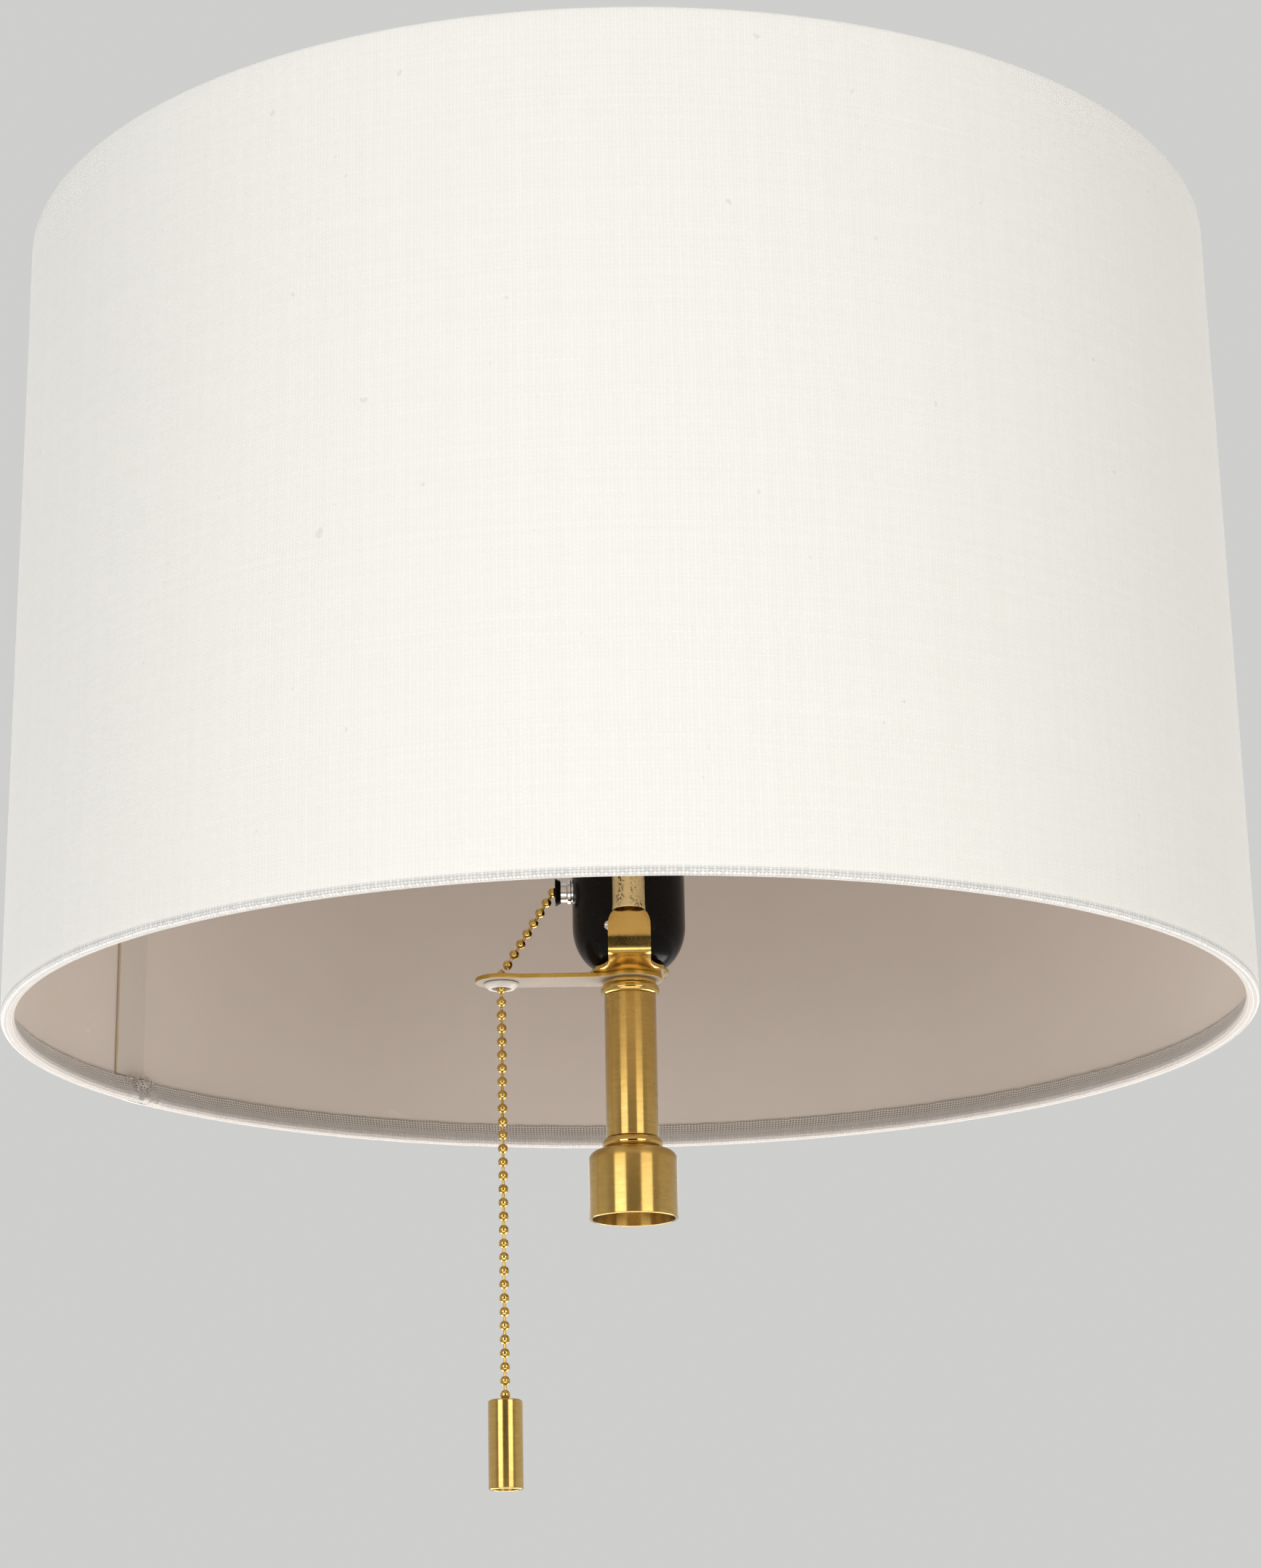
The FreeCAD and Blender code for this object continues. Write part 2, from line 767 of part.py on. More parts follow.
def make_side_seam():
    gap = S["hem_gap"]
    low = S["hem_turn"] + S["seam_end_gap"]
    high = S["shade_height"] - low
    corners = [
        (liner_inside(low) - gap, low),
        (liner_inside(high) - gap, high),
        (liner_inside(high) - gap - S["seam_thick"], high),
        (liner_inside(low) - gap - S["seam_thick"], low),
    ]
    spread = S["seam_width"] / liner_inside(low) * (180 / math.pi)
    seam = turned("side_seam", corners, z=shade_z, angle=spread)
    seam_side = FreeCAD.Rotation(FreeCAD.Vector(0, 0, 1), SEAM_TURN)
    seam.Placement = FreeCAD.Placement(seam.Placement.Base, seam_side)
    piece("side_seam", seam)


def make_finial():
    foot = S["finial_foot_dia"] / 2
    waist = S["finial_waist_dia"] / 2
    knob = S["finial_dia"] / 2
    bore = S["stud_dia"] / 2 + S["thread_clearance"]
    neck_end = S["finial_foot"] + S["finial_waist"]
    sink = Size(math.sqrt(knob.value ** 2 - waist.value ** 2),
                f"sqrt({(knob * knob - waist * waist).text})")
    middle = neck_end + sink
    corners = [
        (bore, ZERO),
        (foot, ZERO),
        (foot, S["finial_foot"]),
        (waist, S["finial_foot"] + S["finial_slope"]),
        (waist, neck_end, knob),
        (ZERO, middle + knob),
        (ZERO, S["stud_thread"] + S["finial_bore_tip"]),
        (bore, S["stud_thread"] + S["finial_bore_end"]),
    ]
    piece("finial", turned("finial", corners, z=hub_z + S["hub_thick"]))


def screw_line(radius, length):
    """A bar on the set screw's line, from the axis out through the dome."""
    out = FreeCAD.Vector(-math.sin(SCREW_TURN), -math.cos(SCREW_TURN), 0)
    bar = cylinder(radius, length)
    turn = FreeCAD.Rotation(FreeCAD.Vector(0, 0, 1), out)
    bar.Placement = FreeCAD.Placement(FreeCAD.Vector(0, 0, 0), turn)
    bind(bar, "Placement.Base.z", socket_z + S["set_screw_height"])
    return bar


def make_cap_and_set_screw():
    outer = S["socket_dia"] / 2
    inner = outer - S["socket_wall"]
    foot = S["dome_foot_dia"] / 2
    dome = S["dome_height"]
    corners = [(pipe_hole, ZERO)]
    for step in range(DOME_STEPS + 1):
        turn = math.pi / 2 * step / DOME_STEPS
        across = (outer - foot) * math.sin(turn)
        corners.append((foot + across, dome - dome * math.cos(turn)))
    corners += [
        (outer, S["cap_height"] - S["shell_overlap"]),
        (rabbet_radius, S["cap_height"] - S["shell_overlap"]),
        (rabbet_radius, S["cap_height"]),
        (inner, S["cap_height"]),
        (inner, dome),
        (inner - S["cap_corner"], S["cap_floor"]),
        (pipe_hole, S["cap_floor"]),
    ]
    blank = turned("cap_blank", corners, z=socket_z)
    spout_way = lying_cylinder(S["spout_dia"] / 2 + S["thread_clearance"], S["socket_wall"] * 3,
                               -inner + S["socket_wall"], ZERO, spout_z, (-1, 0, 0))
    radius = S["set_screw_dia"] / 2
    screw_way = screw_line(radius + S["thread_clearance"], S["socket_dia"])
    piece("socket_cap", cut(blank, spout_way, screw_way))
    pipe_face = S["pipe_dia"] / 2 + S["pipe_clearance"]
    whole = screw_line(radius, outer - S["set_screw_sink"])
    piece("cap_set_screw", cut(whole, cylinder(pipe_face, S["cap_floor"] * 3, z=socket_z)))


def make_shell_and_core():
    outer = S["socket_dia"] / 2
    fit = S["shell_fit"]
    flange = S["core_flange"]
    edge = S["shell_edge"]
    inner = outer - S["socket_wall"]
    height = S["shell_overlap"] + S["shell_height"]
    shell = [
        (rabbet_radius + fit, ZERO),
        (outer, ZERO),
        (outer, height - edge),
        (outer - edge, height),
        (inner, height),
        (inner, S["shell_overlap"] + flange + fit),
        (rabbet_radius + fit, S["shell_overlap"] + flange + fit),
    ]
    shell_z = socket_z + S["cap_height"] - S["shell_overlap"]
    piece("socket_shell", turned("socket_shell", shell, z=shell_z))
    flange_disc = cylinder(rabbet_radius, flange, z=core_top_z - flange)
    block = cylinder(inner - fit, S["core_thick"], z=core_z)
    ways = []
    screws = []
    x = S["terminal_ahead"]
    thread = S["terminal_dia"] / 2
    head_z = core_z - S["terminal_head"]
    for side in (-1, 1):
        y = S["terminal_aside"] * side
        way = thread + S["thread_clearance"]
        ways.append(cylinder(way, S["terminal_length"], x=x, y=y, z=core_z))
        shank = cylinder(thread, S["terminal_length"] + S["terminal_head"], x=x, y=y, z=head_z)
        head = cylinder(S["terminal_dia"], S["terminal_head"], x=x, y=y, z=head_z)
        screws.append(fuse(head, shank))
    piece("socket_core", cut(fuse(flange_disc, block), *ways))
    piece("terminal_screws", group(*screws))


def make_screw_shell_and_contact():
    radius = S["bulb_thread_dia"] / 2
    wall = S["screw_shell_wall"]
    foot = S["contact_lift"] + S["contact_room"]
    foot_radius = radius - S["screw_shell_roll"]
    length = S["screw_shell_height"] - foot
    outside = cylinder(radius + wall, length + wall, z=core_top_z + foot - wall)
    foot_outside = cylinder(foot_radius + wall, foot, z=core_top_z)
    inside = cylinder(radius, length, z=core_top_z + foot)
    foot_inside = cylinder(foot_radius, foot, z=core_top_z + wall)
    seat = cylinder(S["contact_width"], wall, z=core_top_z)
    piece("screw_shell", cut(fuse(outside, foot_outside), inside, foot_inside, seat))
    thick = S["contact_thick"]
    lift = S["contact_lift"]
    back = S["contact_back"]
    step = S["contact_step"]
    front = S["contact_front"]
    nose = front + S["contact_nose"]
    tongue = [
        (-back, ZERO),
        (front, ZERO),
        (nose, lift / 2),
        (front, lift),
        (step - back, lift),
        (step - back, lift - thick),
        (front - thick, lift - thick),
        (nose - thick, lift / 2),
        (front - thick, thick),
        (-back, thick),
    ]
    contact = extruded("centre_contact", "XZ_Plane", tongue, S["contact_width"])
    place(contact, 0, 0, core_top_z)
    piece("centre_contact", contact)


def make_spout():
    wall = S["spout_wall"]
    outer = S["spout_dia"] / 2
    face = S["socket_dia"] / 2
    flange_thick = S["spout_flange_thick"]
    inside = face - S["socket_wall"] - flange_thick
    flange = outer + S["spout_flange"]
    reach = S["spout_length"]
    tube = lying_cylinder(outer, face - inside + reach, -inside, ZERO, spout_z, (-1, 0, 0))
    inner_x = flange_thick - inside
    collar = lying_cylinder(flange, flange_thick, inner_x, ZERO, spout_z, (-1, 0, 0))
    stub = lying_cylinder(outer, flange_thick * 2, inner_x, ZERO, spout_z, (-1, 0, 0))
    way = lying_cylinder(outer - wall, face + reach, ZERO, ZERO, spout_z, (-1, 0, 0))
    piece("switch_spout", cut(fuse(tube, collar, stub), way))
    lip = S["bell_mouth_dia"] / 2
    edge = S["bell_mouth_lip"]
    depth = S["bell_mouth_length"]
    corners = [
        (outer - wall, ZERO),
        (outer + edge, ZERO),
        (lip, depth - edge),
        (lip, depth),
        (lip - edge, depth),
    ]
    mouth = turned("spout_mouth", corners)
    turn = FreeCAD.Rotation(FreeCAD.Vector(0, 0, 1), FreeCAD.Vector(-1, 0, 0))
    mouth.Placement = FreeCAD.Placement(FreeCAD.Vector(0, 0, 0), turn)
    place(mouth, -face - reach, 0, spout_z)
    piece("spout_mouth", mouth)


def make_switch():
    side = S["lever_thick"] / 2 + S["lever_play"]
    ear = S["yoke_thick"]
    pin_radius = S["pin_dia"] / 2
    hole = pin_radius + S["pin_clearance"]
    ears = []
    for sign in (-1, 1):
        middle = (side + ear / 2) * sign
        ears.append(box(S["yoke_width"], ear, core_z - pin_z, y=middle, z=pin_z))
        ears.append(lying_cylinder(S["yoke_width"] / 2, ear, ZERO, middle - ear / 2, pin_z,
                                   (0, 1, 0)))
    bridge = box(S["yoke_width"], (side + ear) * 2, ear, z=core_z - ear)
    pin_way = lying_cylinder(pin_radius, (side + ear) * 2, ZERO, -side - ear, pin_z, (0, 1, 0))
    piece("switch_yoke", cut(fuse(bridge, *ears), pin_way))
    pin_length = side + ear + S["spring_length"] + S["pin_tail"]
    pin = lying_cylinder(pin_radius, side + ear + pin_length, ZERO, -side - ear, pin_z,
                         (0, 1, 0))
    piece("lever_pin", pin)
    wire = value("spring_wire")
    low = value("pin_dia") / 2 + value("spring_gap")
    pitch = value("spring_length") / SPRING_COILS
    coil = Part.makeHelix(pitch, value("spring_length") - wire * 2, low + wire / 2)
    section = Part.makePolygon([
        FreeCAD.Vector(low, 0, -wire / 2),
        FreeCAD.Vector(low + wire, 0, -wire / 2),
        FreeCAD.Vector(low + wire, 0, wire / 2),
        FreeCAD.Vector(low, 0, wire / 2),
        FreeCAD.Vector(low, 0, -wire / 2),
    ])
    spring = Part.Wire(coil.Edges).makePipeShell([section], True, True)
    lie = FreeCAD.Rotation(FreeCAD.Vector(0, 0, 1), FreeCAD.Vector(0, 1, 0))
    feature = shaped("lever_spring", spring)
    start = FreeCAD.Vector(0, (side + ear).value + wire, pin_z.value)
    feature.Placement = FreeCAD.Placement(start, lie)
    piece("lever_spring", feature)
    lean = math.radians(LEVER_LEAN)
    hub = lying_cylinder(S["lever_width"] / 2, S["lever_thick"], ZERO,
                         -S["lever_thick"] / 2, pin_z, (0, 1, 0))
    bar = doc.addObject("Part::Box", "Bar")
    bind(bar, "Length", S["lever_bar"])
    bind(bar, "Width", S["lever_thick"])
    bind(bar, "Height", S["lever_radius"])
    tilt = FreeCAD.Rotation(FreeCAD.Vector(0, 1, 0), LEVER_LEAN)
    bar.Placement = FreeCAD.Placement(FreeCAD.Vector(0, 0, 0), tilt)
    half = S["lever_bar"] / 2
    place(bar, -half * math.cos(lean), -S["lever_thick"] / 2, pin_z + half * math.sin(lean))
    tip_x = S["lever_radius"] * math.sin(lean)
    tip_z = pin_z + S["lever_radius"] * math.cos(lean)
    tip = lying_cylinder(half, S["lever_thick"], tip_x, -S["lever_thick"] / 2, tip_z, (0, 1, 0))
    hole_bar = lying_cylinder(hole, S["lever_thick"], ZERO, -S["lever_thick"] / 2, pin_z,
                              (0, 1, 0))
    piece("switch_lever", cut(fuse(hub, bar, tip), hole_bar))


def bead_string(centres, start_link=None, end_link=None):
    """Hollow beads drawn as balls, joined by their links, as one solid."""
    bead = value("bead_dia") / 2
    link = value("link_dia") / 2
    shape = Part.makeSphere(bead, centres[0])
    for before, after in zip(centres, centres[1:]):
        way = after - before
        shape = shape.fuse(Part.makeCylinder(link, way.Length, before, way))
        shape = shape.fuse(Part.makeSphere(bead, after))
    if start_link is not None:
        shape = shape.fuse(Part.makeCylinder(link, start_link.Length, centres[0], start_link))
    if end_link is not None:
        shape = shape.fuse(Part.makeCylinder(link, end_link.Length, centres[-1], end_link))
    return shape.removeSplitter()


def turned_string(count, pitch, top_link, end_gap):
    """Outline of a straight string of beads that hangs from height 0."""
    bead = S["bead_dia"] / 2
    link = S["link_dia"] / 2
    rise = Size(math.sqrt(bead.value ** 2 - link.value ** 2),
                f"sqrt({(bead * bead - link * link).text})")
    last = -pitch * (count - 1)
    corners = [(ZERO, top_link), (ZERO, last - end_gap), (link, last - end_gap)]
    for index in reversed(range(count)):
        middle = -pitch * index
        corners.append((link, middle - rise, bead))
        corners.append((link, middle + rise))
    corners.append((link, top_link))
    return corners


def make_chain():
    step = value("slack_pitch")
    bead = value("bead_dia") / 2
    stub = bead + 0.7 * (step - 2 * bead)
    short_stub = bead + 0.4 * (step - 2 * bead)
    eyelet = FreeCAD.Vector(-arm_reach.value, 0, eyelet_bead_z.value)
    mouth_x = -(value("socket_dia") / 2 + value("spout_length") + value("bell_mouth_length"))
    mouth = FreeCAD.Vector(mouth_x - value("mouth_stand"), 0, spout_z.value)
    slope = (mouth - eyelet).normalize()
    beads_between = int(value("upper_beads"))
    entry = mouth - slope * (step * beads_between)
    sloped = [entry + slope * (step * number) for number in range(1, beads_between + 1)]
    down = slope * -stub
    piece("chain_upper_run",
          shaped("chain_upper_run", bead_string(sloped, start_link=down)))
    piece("chain_entry_bead",
          shaped("chain_entry_bead", bead_string([entry], start_link=down * 0.85)))
    back = FreeCAD.Vector(1, 0, 0)
    turning = mouth + back * step
    piece("chain_turn_bead",
          shaped("chain_turn_bead", bead_string([turning], start_link=slope * -short_stub)))
    first = mouth + back * (step * 2)
    inner = [first + back * (step * number) for number in range(int(value("inner_beads")))]
    lean = math.radians(LEVER_LEAN)
    lever_face = value("lever_radius") * math.sin(lean) - value("lever_bar") / 2
    hook = back * (lever_face - value("hook_gap") - inner[-1].x)
    piece("chain_inner_run",
          shaped("chain_inner_run",
                 bead_string(inner, start_link=slope * -short_stub, end_link=hook)))
    for name, place_at in (("entry", entry), ("mouth", mouth), ("turning", turning)):
        print(f"{name} bead at {place_at.x:.4f} {place_at.y:.4f} {place_at.z:.4f}")


def make_eyelet_beads():
    """The bead inside the eyelet and the one at its mouth, which slide together."""
    bead = S["bead_dia"] / 2
    gap = S["bead_pitch"] - S["bead_dia"]
    pair = turned("chain_eyelet_beads",
                  turned_string(2, S["bead_pitch"], bead + gap * 0.3, bead + gap * 0.35))
    place(pair, -arm_reach, 0, eyelet_bead_z)
    piece("chain_eyelet_beads", pair)
    gimbal = turned("chain_gimbal_bead",
                    turned_string(1, S["bead_pitch"], bead + gap * 0.35, bead + gap * 0.35))
    place(gimbal, -arm_reach, 0, eyelet_bead_z - S["bead_pitch"] * 2)
    piece("chain_gimbal_bead", gimbal)


def make_hanging_run_and_pull():
    bead = S["bead_dia"] / 2
    pitch = S["bead_pitch"]
    gap = pitch - S["bead_dia"]
    count = int(S["hanging_beads"].value)
    start_z = eyelet_bead_z - pitch * 3
    last = -pitch * (count - 1)
    held = S["bead_dia"] + S["pull_gap"] * 2 + S["pull_top"]
    string = turned("chain_string", turned_string(count, pitch, bead + gap * 0.35, held))
    place(string, -arm_reach, 0, start_z)
    end = ball(bead, -arm_reach, ZERO, start_z + last - held)
    piece("chain_hanging_run", fuse(string, end))
    top_z = start_z + last - bead - S["pull_gap"]
    radius = S["pull_dia"] / 2
    low = -S["pull_length"]
    edge = S["pull_edge"]
    corners = [
        (S["pull_hole"] / 2, ZERO),
        (S["pull_hole"] / 2, -S["pull_top"]),
        (radius - S["pull_wall"], -S["pull_top"]),
        (radius - S["pull_wall"], low),
        (radius - edge, low),
        (radius, low + edge),
        (radius, -edge),
        (radius - edge, ZERO),
    ]
    pull = turned("pull_bell", corners)
    place(pull, -arm_reach, 0, top_z)
    piece("pull_bell", pull)


def build():
    make_collar()
    make_pipe_and_nut()
    make_rings_and_neck()
    make_arm_and_eyelet()
    make_saddle()
    make_ferrules()
    make_harp()
    make_cover_and_liner()
    make_shade_rings()
    make_spider()
    make_hems()
    make_side_seam()
    make_finial()
    make_cap_and_set_screw()
    make_shell_and_core()
    make_screw_shell_and_contact()
    make_spout()
    make_switch()
    make_chain()
    make_eyelet_beads()
    make_hanging_run_and_pull()
    doc.recompute()


def check_and_write():
    for thing in doc.Objects:
        if "Invalid" in thing.State or "Error" in thing.State:
            raise RuntimeError(f"{thing.Name} ({thing.Label}) did not build: {thing.State}")
    for label, thing in pieces.items():
        if thing.Shape.isNull() or not thing.Shape.isValid():
            raise RuntimeError(f"{label} has no valid shape")
        if not thing.Shape.Solids or thing.Shape.Volume <= 0:
            raise RuntimeError(f"{label} is not solid")
    os.makedirs("parts", exist_ok=True)
    for label, thing in pieces.items():
        thing.Shape.exportStep(f"parts/{label}.step")
        bounds = thing.Shape.BoundBox
        print(f"{label:20s} {len(thing.Shape.Solids):3d} {thing.Shape.Volume:12.2f}"
              f"  z {bounds.ZMin:8.2f} {bounds.ZMax:8.2f}")
    print(len(pieces), "pieces")


build()
check_and_write()
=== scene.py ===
import math
import random
import bmesh
import bpy
from mathutils import Matrix, Vector, noise


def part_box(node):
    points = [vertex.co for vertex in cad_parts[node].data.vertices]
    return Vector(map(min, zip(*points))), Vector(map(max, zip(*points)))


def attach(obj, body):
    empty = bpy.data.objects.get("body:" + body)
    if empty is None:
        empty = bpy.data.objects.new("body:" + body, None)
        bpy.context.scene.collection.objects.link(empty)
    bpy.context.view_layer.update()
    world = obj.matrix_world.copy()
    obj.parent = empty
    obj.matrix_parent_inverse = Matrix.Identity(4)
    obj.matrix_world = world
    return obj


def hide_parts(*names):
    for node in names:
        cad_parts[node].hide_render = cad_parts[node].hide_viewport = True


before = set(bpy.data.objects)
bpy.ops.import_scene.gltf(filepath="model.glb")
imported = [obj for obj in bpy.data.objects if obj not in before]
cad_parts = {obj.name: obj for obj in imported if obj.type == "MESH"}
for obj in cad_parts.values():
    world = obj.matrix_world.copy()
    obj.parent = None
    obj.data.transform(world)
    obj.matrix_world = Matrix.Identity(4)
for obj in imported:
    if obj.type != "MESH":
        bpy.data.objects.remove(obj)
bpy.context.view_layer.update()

# Metres, +Z up.  The lamp head stands on the Z axis, its chain arm points to -X and
# its harp lies in the YZ plane.  Turns are in degrees from +X towards +Y.

MM = 0.001
SEAM_TURN = 148.7
HEM_JOINT_TURN = SEAM_TURN + 1
SPIDER_TURNS = (90, 210, 330)
BEAD = 3.2 * MM
LINK = 0.9 * MM
HANGING_BEADS = 29
BEAD_PITCH = 4.36 * MM
SLACK_PITCH = 4.02 * MM
RING_WIRE = 1.3 * MM
PIPE_HOLE = 5.15 * MM
UP = (0, 0, 1)


# ---------------------------------------------------------------- places from the frame

class Place:
    """Where a part of the frame is: its corners, its middle and its radius about its own axis."""

    def __init__(self, node):
        self.low, self.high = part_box(node)
        self.middle = (self.low + self.high) / 2
        self.radius = (self.high.y - self.low.y) / 2
        self.height = self.high.z - self.low.z


# ---------------------------------------------------------------- shapes

def rounded(corners, steps=4, closed=True):
    """Outline from corners (u, v, radius), with an arc at each corner that has a radius."""
    points = []
    for index, (u, v, radius) in enumerate(corners):
        here = Vector((u, v))
        at_end = not closed and index in (0, len(corners) - 1)
        if radius == 0 or at_end:
            points.append(here)
            continue
        back = (Vector(corners[index - 1][:2]) - here).normalized()
        ahead = (Vector(corners[(index + 1) % len(corners)][:2]) - here).normalized()
        half = back.angle(ahead) / 2
        setback = radius / math.tan(half)
        centre = here + (back + ahead).normalized() * (radius / math.sin(half))
        start = here + back * setback - centre
        turn = start.angle_signed(here + ahead * setback - centre)
        for step in range(steps + 1):
            share = step / steps * turn
            spoke = Matrix.Rotation(-share, 2) @ start
            points.append(centre + spoke)
    return points


def placed(name, data):
    """An object of the given data, linked to the scene."""
    made = bpy.data.objects.new(name, data)
    bpy.context.scene.collection.objects.link(made)
    return made


def shaded(mesh, crease=35):
    """Smooth shading in which edges sharper than the crease stay sharp."""
    mesh.shade_smooth()
    mesh.set_sharp_from_angle(angle=math.radians(crease))


def piece_from(name, shape, crease=35):
    """Turns a bmesh into a smooth-shaded piece."""
    bmesh.ops.recalc_face_normals(shape, faces=shape.faces)
    mesh = bpy.data.meshes.new(name)
    shape.to_mesh(mesh)
    shape.free()
    shaded(mesh, crease)
    return placed(name, mesh)


def finish_mesh(name, shape, crease=35):
    """Turns a bmesh whose corners may coincide into one welded piece."""
    bmesh.ops.remove_doubles(shape, verts=shape.verts, dist=1e-7)
    return piece_from(name, shape, crease)


def ring_of(shape, sides, height, reach_at):
    """Corners once round Z; reach_at gives the radius at a share of the turn."""
    ring = []
    for side in range(sides):
        turn = 2 * math.pi * side / sides
        reach = reach_at(side / sides)
        ring.append(shape.verts.new((reach * math.cos(turn), reach * math.sin(turn), height)))
    return ring


def skin(shape, rings, capped=False):
    """Four-sided faces between each ring of corners and the next, and over the ends."""
    for ring, after in zip(rings, rings[1:]):
        for side in range(len(ring)):
            beside = (side + 1) % len(ring)
            shape.faces.new((ring[side], ring[beside], after[beside], after[side]))
    if capped:
        shape.faces.new(rings[0])
        shape.faces.new(rings[-1])


def revolve(shape, outline, sides, matrix):
    """Adds an outline of (radius, height) turned once round the matrix's Z to a bmesh."""
    rings = []
    for radius, height in outline:
        count = 1 if radius < 1e-7 else sides
        ring = []
        for side in range(count):
            turn = 2 * math.pi * side / sides
            spot = Vector((radius * math.cos(turn), radius * math.sin(turn), height))
            ring.append(shape.verts.new(matrix @ spot))
        rings.append(ring)
    for ring, after in zip(rings, rings[1:] + rings[:1]):
        if len(ring) == 1 and len(after) == 1:
            continue
        for side in range(sides):
            beside = (side + 1) % sides
            corners = [ring[side % len(ring)], ring[beside % len(ring)],
                       after[beside % len(after)], after[side % len(after)]]
            distinct = list(dict.fromkeys(corners))
            if len(distinct) > 2:
                shape.faces.new(distinct)


def turned(name, corners, middle=(0, 0, 0), axis=UP, sides=96, steps=4, crease=35):
    """A lathe-turned piece from corners (radius, height, corner radius)."""
    turn = Vector(UP).rotation_difference(Vector(axis)).to_matrix().to_4x4()
    shape = bmesh.new()
    revolve(shape, rounded(corners, steps), sides, Matrix.Translation(middle) @ turn)
    return finish_mesh(name, shape, crease)


def tube_along(name, points, radius, sides=20):
    """A round wire that follows a line of points, closed at both ends."""
    shape = bmesh.new()
    rings = []
    side_way = None
    for index, point in enumerate(points):
        before = points[max(index - 1, 0)]
        after = points[min(index + 1, len(points) - 1)]
        ahead = (after - before).normalized()
        if side_way is None:
            side_way = ahead.orthogonal().normalized()
        side_way = (side_way - ahead * side_way.dot(ahead)).normalized()
        across = ahead.cross(side_way)
        ring = []
        for side in range(sides):
            turn = 2 * math.pi * side / sides
            spoke = side_way * math.cos(turn) + across * math.sin(turn)
            ring.append(shape.verts.new(point + spoke * radius))
        rings.append(ring)
    skin(shape, rings, capped=True)
    return finish_mesh(name, shape, 50)


def bend_line(points, bends, steps=10):
    """Points along straight runs joined by arcs, for a wire bent on a former."""
    line = [points[0]]
    for before, corner, after, bend in zip(points, points[1:], points[2:], bends):
        back = (before - corner).normalized()
        ahead = (after - corner).normalized()
        half = back.angle(ahead) / 2
        centre = corner + (back + ahead).normalized() * (bend / math.sin(half))
        start = corner + back * (bend / math.tan(half)) - centre
        end = corner + ahead * (bend / math.tan(half)) - centre
        turn = start.angle(end)
        axis = start.cross(end).normalized()
        for step in range(steps + 1):
            line.append(centre + Matrix.Rotation(turn * step / steps, 3, axis) @ start)
    line.append(points[-1])
    return line


def applied(piece):
    """Makes a piece's modifiers part of its mesh."""
    graph = bpy.context.evaluated_depsgraph_get()
    mesh = bpy.data.meshes.new_from_object(piece.evaluated_get(graph))
    piece.modifiers.clear()
    piece.data = mesh
    return piece


def joined(name, *parts):
    """Several closed shells of one material made one piece."""
    shape = bmesh.new()
    for part in parts:
        shape.from_mesh(part.data)
        bpy.data.objects.remove(part)
    return piece_from(name, shape)


def boolean(piece, other, operation):
    """Joins another shell to a piece or cuts it away, and keeps the result as the mesh."""
    modifier = piece.modifiers.new("cut", "BOOLEAN")
    modifier.operation = operation
    modifier.solver = "EXACT"
    modifier.object = other
    bpy.context.view_layer.update()
    applied(piece)
    bpy.data.objects.remove(other)
    shaded(piece.data)
    return piece


def worn(piece, finish, body, cad_node):
    """Gives a finished piece its material and its place in the frame."""
    piece.data.materials.clear()
    piece.data.materials.append(finish)
    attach(piece, body)
    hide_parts(cad_node)
    return piece


def turned_part(name, corners, finish, body, slot, cad_node, **form):
    """A lathe-turned piece with its material and its place in the frame."""
    return worn(turned(name, corners, **form), finish, body, cad_node)


# ---------------------------------------------------------------- node helpers

def node(tree, kind, inputs=None, **settings):
    """A node with its settings and inputs; an input that is a socket gets linked."""
    made = tree.nodes.new(kind)
    for key, value in settings.items():
        setattr(made, key, value)
    for key, value in (inputs or {}).items():
        if isinstance(value, bpy.types.NodeSocket):
            tree.links.new(value, made.inputs[key])
        else:
            made.inputs[key].default_value = value
    return made


def maths(tree, operation, first, second=0.0, third=0.0):
    """A sum on numbers or sockets."""
    made = node(tree, "ShaderNodeMath", {0: first, 1: second, 2: third}, operation=operation)
    return made.outputs[0]


def ramp(tree, value, low, high, to_low=0.0, to_high=1.0):
    """A value carried from one range to another and held inside it."""
    made = node(tree, "ShaderNodeMapRange", {
        "Value": value,
        "From Min": low,
        "From Max": high,
        "To Min": to_low,
        "To Max": to_high,
    })
    return made.outputs[0]


def noise_at(tree, vector, scale, detail=2.0, roughness=0.5):
    made = node(tree, "ShaderNodeTexNoise", {
        "Vector": vector,
        "Scale": scale,
        "Detail": detail,
        "Roughness": roughness,
    })
    return made.outputs["Fac"]


def mixed(tree, share, first, second):
    """A blend of two colours, each a socket or its three parts."""
    made = node(tree, "ShaderNodeMix", data_type="RGBA")
    for index, value in ((0, share), (6, first), (7, second)):
        if isinstance(value, bpy.types.NodeSocket):
            tree.links.new(value, made.inputs[index])
        else:
            made.inputs[index].default_value = value if index == 0 else (*value, 1)
    return made.outputs[2]


def stretched(tree, vector, scale):
    """Coordinates scaled along each axis."""
    made = node(tree, "ShaderNodeVectorMath", {0: vector, 1: scale}, operation="MULTIPLY")
    return made.outputs[0]


def new_group(name, inputs, outputs):
    """An empty shader node group with named inputs (name, kind, value) and outputs."""
    tree = bpy.data.node_groups.new(name, "ShaderNodeTree")
    for label, kind, value in inputs:
        made = tree.interface.new_socket(label, in_out="INPUT", socket_type=kind)
        if value is not None:
            made.default_value = value
    for label, kind in outputs:
        tree.interface.new_socket(label, in_out="OUTPUT", socket_type=kind)
    start = tree.nodes.new("NodeGroupInput")
    end = tree.nodes.new("NodeGroupOutput")
    return tree, start.outputs, end.inputs


def use_group(tree, group, inputs):
    made = tree.nodes.new("ShaderNodeGroup")
    made.node_tree = group
    for key, value in inputs.items():
        if isinstance(value, bpy.types.NodeSocket):
            tree.links.new(value, made.inputs[key])
        else:
            made.inputs[key].default_value = value
    return made.outputs


